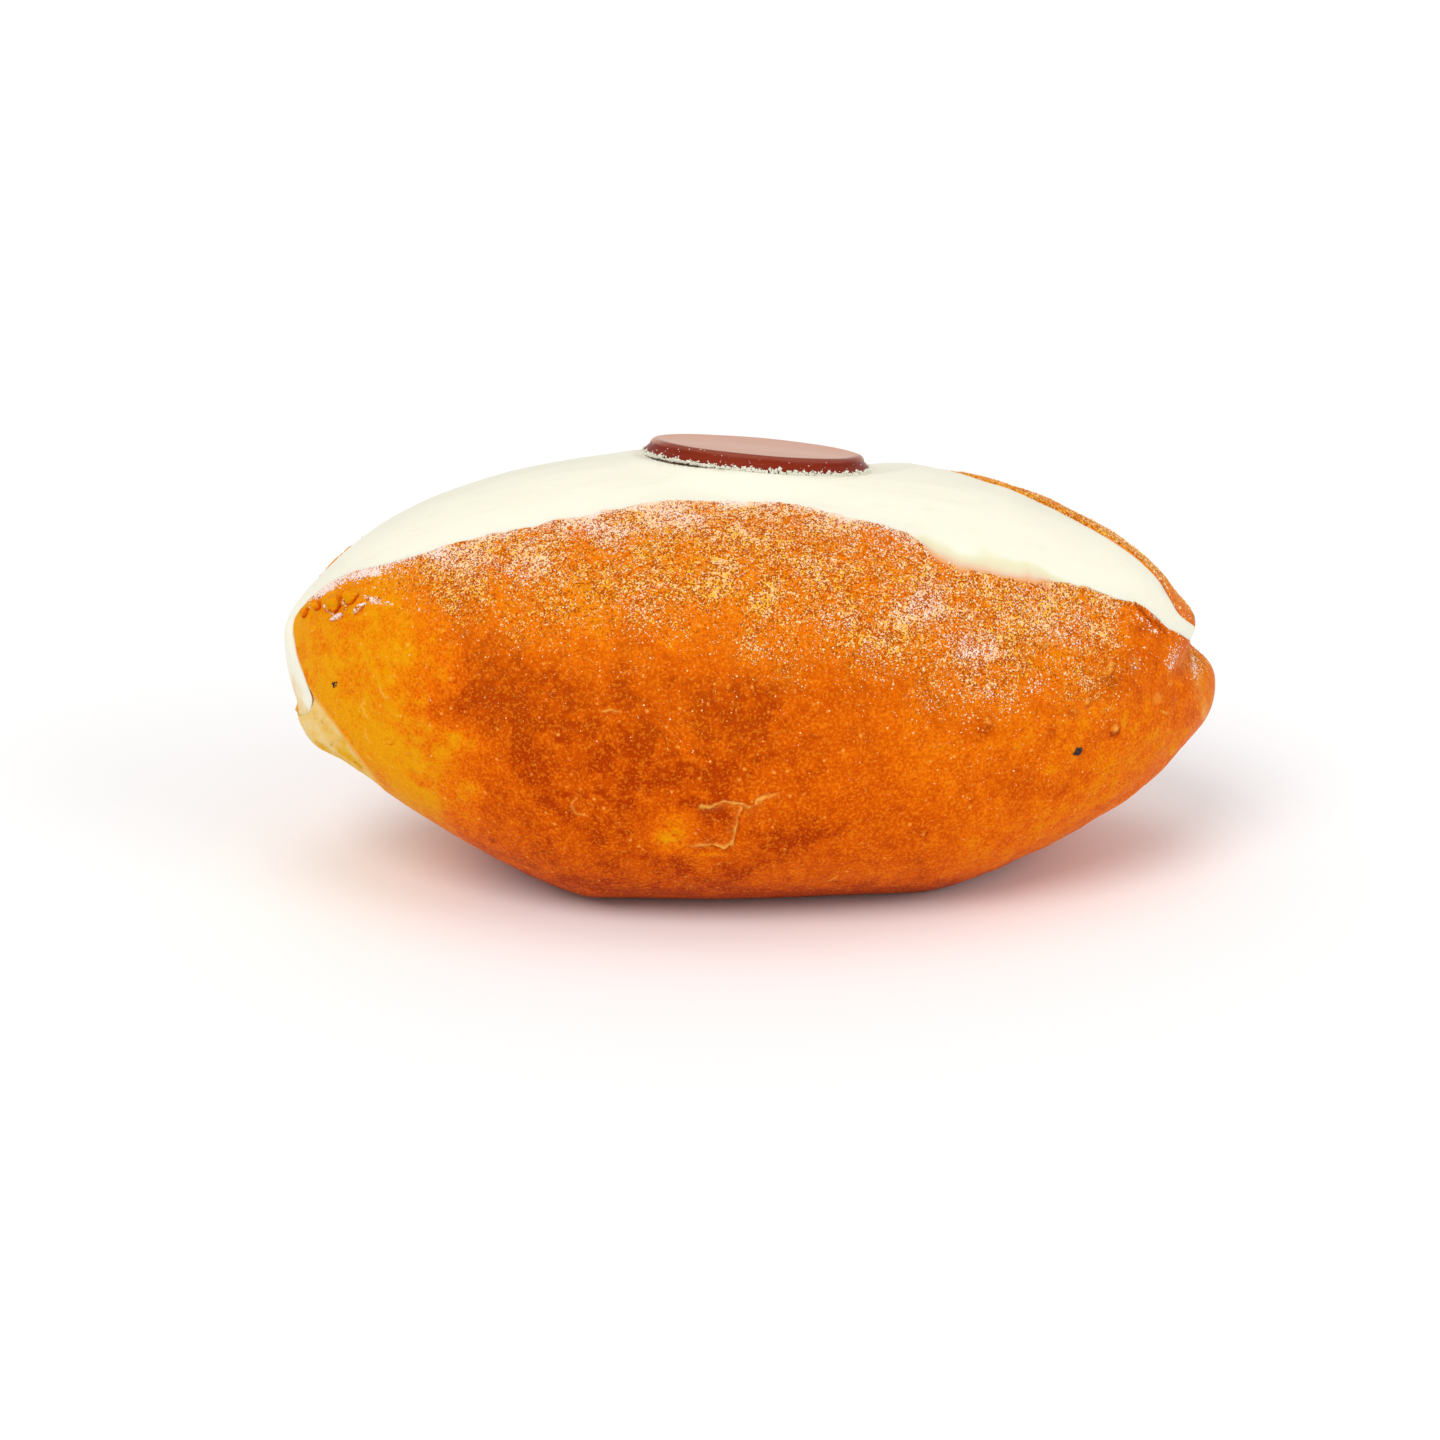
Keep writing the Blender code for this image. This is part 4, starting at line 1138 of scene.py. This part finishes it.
def scorch_material(grain):
    material, w, shader, where = new_material("scorched_speck")
    fine = w.place(grain, Vector=where, Grain_Scale=2500.0)
    colour = w.mix(fine["Shade"], (0.012, 0.003, 0.004, 1), (0.05, 0.01, 0.014, 1))
    w.join(colour, shader.inputs["Base Color"])
    uneven_gloss(w, shader, fine, 0.42, 0.58)
    add_bump(w, shader, fine["Height"], 0.3, 0.00005)
    return material


def sugar_material(grain):
    """Icing sugar: golden where it has soaked up oil, whiter where it lies thick."""
    material, w, shader, where = new_material("icing_sugar")
    fine = w.place(grain, Vector=where, Grain_Scale=2500.0)
    soaked = w.mix(fine["Shade"], (0.93, 0.5, 0.1, 1), (0.99, 0.68, 0.3, 1))
    dry = w.mix(fine["Shade"], (0.96, 0.78, 0.68, 1), (1.0, 0.9, 0.84, 1))
    w.join(w.mix(w.mark("white"), soaked, dry), shader.inputs["Base Color"])
    uneven_gloss(w, shader, fine, 0.5, 0.65)
    shader.inputs["Specular IOR Level"].default_value = 0.2
    add_bump(w, shader, fine["Height"], 0.3, 0.00005)
    return material


# ---- the bun

powder = powder_group()
grain = grain_group()
crust_finish = crust_material(powder, grain)
cream_finish = cream_material(grain)
chocolate_finish = chocolate_material(grain, powder)
sugar_finish = sugar_material(grain)
scorch_finish = scorch_material(grain)

rings, ring_t, lip = crust_rings()
outer = lip >= 0
torn = 1 - fade(ragged_end(rings, ring_t), FLAP_END - 0.003, FLAP_END)
torn *= above_foot_of_tear(rings)
crumb_zone = np.where(outer, torn, 1.0)

# Icing sugar falls from above, thicker in drifts and along the near lip
facing = unit(np.cross(np.gradient(rings, axis=0), np.gradient(rings, axis=1)))
facing *= np.sign((facing * (rings - MIDDLE)).sum(-1, keepdims=True))
dust, white = sugar_cover(rings, facing[..., 2], lip)
dust = dust * outer
pale_skin = spots(rings, PALE) * (0.8 + 0.5 * lumps(rings, 1.1, 46) + 0.4 * lumps(rings, 0.5, 47))
torn_rim = 0.9 * hill(ring_t - FLAP_END, 0.0004, 0.0016) * fade(-rings[..., 1], 0, 3)
marks = {"bake_and_shade": np.clip(crust_bake_and_shade(rings, np.where(outer, lip, NO_LIP)), 0, 1), "crumb": crumb_zone,
         "dust": dust, "white": white, "pale": np.clip(pale_skin + torn_rim, 0, 1) * outer}
crust = joined_rings("crust", [(rings, marks)], crust_finish)
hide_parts("bun")

cream_points, cream_marks = cream_rings()
skin = Skin((rings, cream_points))
flake = joined_rings("torn_flake", [crust_patch(skin, FLAKE_BOX, FLAKE_STEP, flake_form)], crust_finish)
blister_patches = [crust_patch(skin, box, BLISTER_STEP, blister_form) for box in BLISTER_BOXES]
blisters = joined_rings("crust_blisters", blister_patches, crust_finish)
folds = joined_rings("gathered_folds", list(dough_lumps(skin, FOLDS, RNG)), crust_finish)

cream = joined_rings("cream_filling", [(cream_points, cream_marks)], cream_finish)
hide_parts("cream")

# Painted sheen: the top of the disc is lighter than its side, less so along its near edge
disc_centre, disc_axes = disc_frame()
disc_local = disc_rings()
disc_shape = disc_centre + disc_local @ disc_axes
painted_top_sheen = fade(disc_local[..., 2] + 0.1 * lumps(disc_local, 3, 71), 1.5, 1.93)
from_middle = np.hypot(disc_local[..., 0], disc_local[..., 1])
painted_top_sheen *= 1 - 0.9 * fade(from_middle, 14.0, 15.4) * fade(-disc_local[..., 1], -2, 9)
disc = joined_rings("chocolate_medallion", [(disc_shape, {"painted_top_sheen": painted_top_sheen})], chocolate_finish)
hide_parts("chocolate_disc")

cells = ring_cells(rings, CRUST_COLUMNS)
cell_dust = dust[:-1, :CRUST_COLUMNS - 1]
cell_white = white[:-1, :CRUST_COLUMNS - 1]
where, normal, pick = pick_cells(cells, cell_dust ** 1.5 * (0.3 + cell_white), SUGAR_GRAINS, RNG)
size = RNG.lognormal(-2.35, 0.35, len(where)).clip(0.05, 0.24)
points, faces = crumbs(where, normal, size, 0.3, RNG)
sugar = mesh_piece("sugar_grains", points, faces, sugar_finish, smooth=False)
dryness = 1.3 * cell_white.reshape(-1)[pick] + RNG.uniform(-0.25, 0.3, len(pick))
set_mark(sugar, "white", np.repeat(dryness.clip(0, 1), 6))


def near_point(px, pz):
    """Point and outward direction of the crust on the near side at x and z."""
    centre, direction = cells[0].reshape(-1, 3), cells[1].reshape(-1, 3)
    away = np.hypot(centre[:, 0] - px, centre[:, 2] - pz) + 1e3 * (centre[:, 1] > 0)
    k = int(np.argmin(away))
    return centre[k], direction[k]


def speck_cluster(px, pz, radius, count, rng):
    """Small dark lump made of a few grains."""
    centre, direction = near_point(px, pz)
    jitter = rng.normal(size=(count, 3)) * radius * 0.5
    jitter -= direction * (jitter @ direction)[:, None]
    return crumbs(centre + jitter, np.repeat(direction[None], count, 0),
                  rng.uniform(0.3, 0.65, count) * radius, 0.1, rng)


def beside_disc(radius, turn, height):
    """Points round the disc, from distance to its axis, turn and height over its underside."""
    return disc_centre + np.stack([radius * np.cos(turn), radius * np.sin(turn), height], -1) @ disc_axes


points, faces = merged([speck_cluster(*speck, RNG) for speck in SPECKS])
specks = mesh_piece("scorched_specks", points, faces, scorch_finish, smooth=False)

# Froth and sugar caught along the near edge of the disc
edge_turn = RNG.uniform(math.radians(176), math.radians(362), FROTH_CRUMBS)
lift = RNG.uniform(0, 1, FROTH_CRUMBS) ** 2 * (1 + 0.7 * np.sin(edge_turn * 23) * np.sin(edge_turn * 57 + 1))
froth_at = beside_disc(DISC_RADIUS + 0.22 - 0.2 * lift, edge_turn, 0.5 * lift - 0.05)
size = RNG.lognormal(-1.9, 0.4, FROTH_CRUMBS).clip(0.08, 0.34)
points, faces = crumbs(froth_at, np.repeat(disc_axes[2:], FROTH_CRUMBS, 0), size, 0.0, RNG)
froth = mesh_piece("cream_froth", points, faces, cream_finish, smooth=False)

side_turn = RNG.uniform(math.radians(180), math.radians(360), DISC_GRAINS)
side_height = RNG.uniform(0.2, DISC_THICKNESS, DISC_GRAINS)
grains_at = beside_disc(DISC_RADIUS - 0.3 * side_height, side_turn, side_height)
size = RNG.uniform(0.05, 0.12, DISC_GRAINS)
points, faces = crumbs(grains_at, np.repeat(disc_axes[2:], DISC_GRAINS, 0), size, 0.0, RNG)
disc_sugar = mesh_piece("disc_sugar", points, faces, sugar_finish, smooth=False)
set_mark(disc_sugar, "white", np.ones(len(points)))

for piece in (crust, flake, blisters, folds, cream, disc, sugar, specks, froth, disc_sugar):
    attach(piece, "root")


# ---- studio

# Lights: name, where each shines from, and the share of full brightness it gives a surface facing it
LIGHTS = (("key", (-0.5, -0.7, 0.95), 0.4), ("fill", (0.95, -0.7, 0.6), 0.2), ("top", (0.0, 0.1, 1.1), 0.1))
LIGHT_WIDTH = math.radians(35)
WORLD_STRENGTH = 0.6
FLOOR_SIDE = 8
CAMERA_PLACE = (-0.03496, -0.49278, 0.19441)
CAMERA_TURN = (math.radians(90 - 19.257), 0, math.radians(-3.49))
CAMERA_LENS, CAMERA_SENSOR = 85.8, 36


def studio():
    scene = bpy.context.scene
    scene.view_settings.view_transform = "Standard"
    world = bpy.data.worlds.new("soft_studio")
    world.use_nodes = True
    background = world.node_tree.nodes["Background"]
    background.inputs["Color"].default_value = (1, 1, 1, 1)
    background.inputs["Strength"].default_value = WORLD_STRENGTH
    scene.world = world

    mesh = bpy.data.meshes.new("floor")
    half = FLOOR_SIDE / 2
    mesh.from_pydata([(-half, -half, 0), (half, -half, 0), (half, half, 0), (-half, half, 0)], [], [(0, 1, 2, 3)])
    floor = bpy.data.objects.new("floor", mesh)
    scene.collection.objects.link(floor)
    material = bpy.data.materials.new("pale_floor")
    material.use_nodes = True
    shader = material.node_tree.nodes["Principled BSDF"]
    shader.inputs["Base Color"].default_value = (0.97, 0.97, 0.97, 1)
    shader.inputs["Roughness"].default_value = 0.8
    shader.inputs["Specular IOR Level"].default_value = 0.1
    mesh.materials.append(material)

    for name, spot, strength in LIGHTS:
        light = bpy.data.lights.new(name, "SUN")
        light.angle = LIGHT_WIDTH
        light.energy = strength * math.pi
        lamp = bpy.data.objects.new(name, light)
        lamp.rotation_euler = (-Vector(spot)).to_track_quat("-Z", "Y").to_euler()
        scene.collection.objects.link(lamp)

    camera = bpy.data.cameras.new("camera")
    camera.sensor_width = CAMERA_SENSOR
    camera.lens = CAMERA_LENS
    camera.clip_start = 0.01
    eye = bpy.data.objects.new("camera", camera)
    eye.location = CAMERA_PLACE
    eye.rotation_euler = CAMERA_TURN
    scene.collection.objects.link(eye)
    scene.camera = eye


studio()
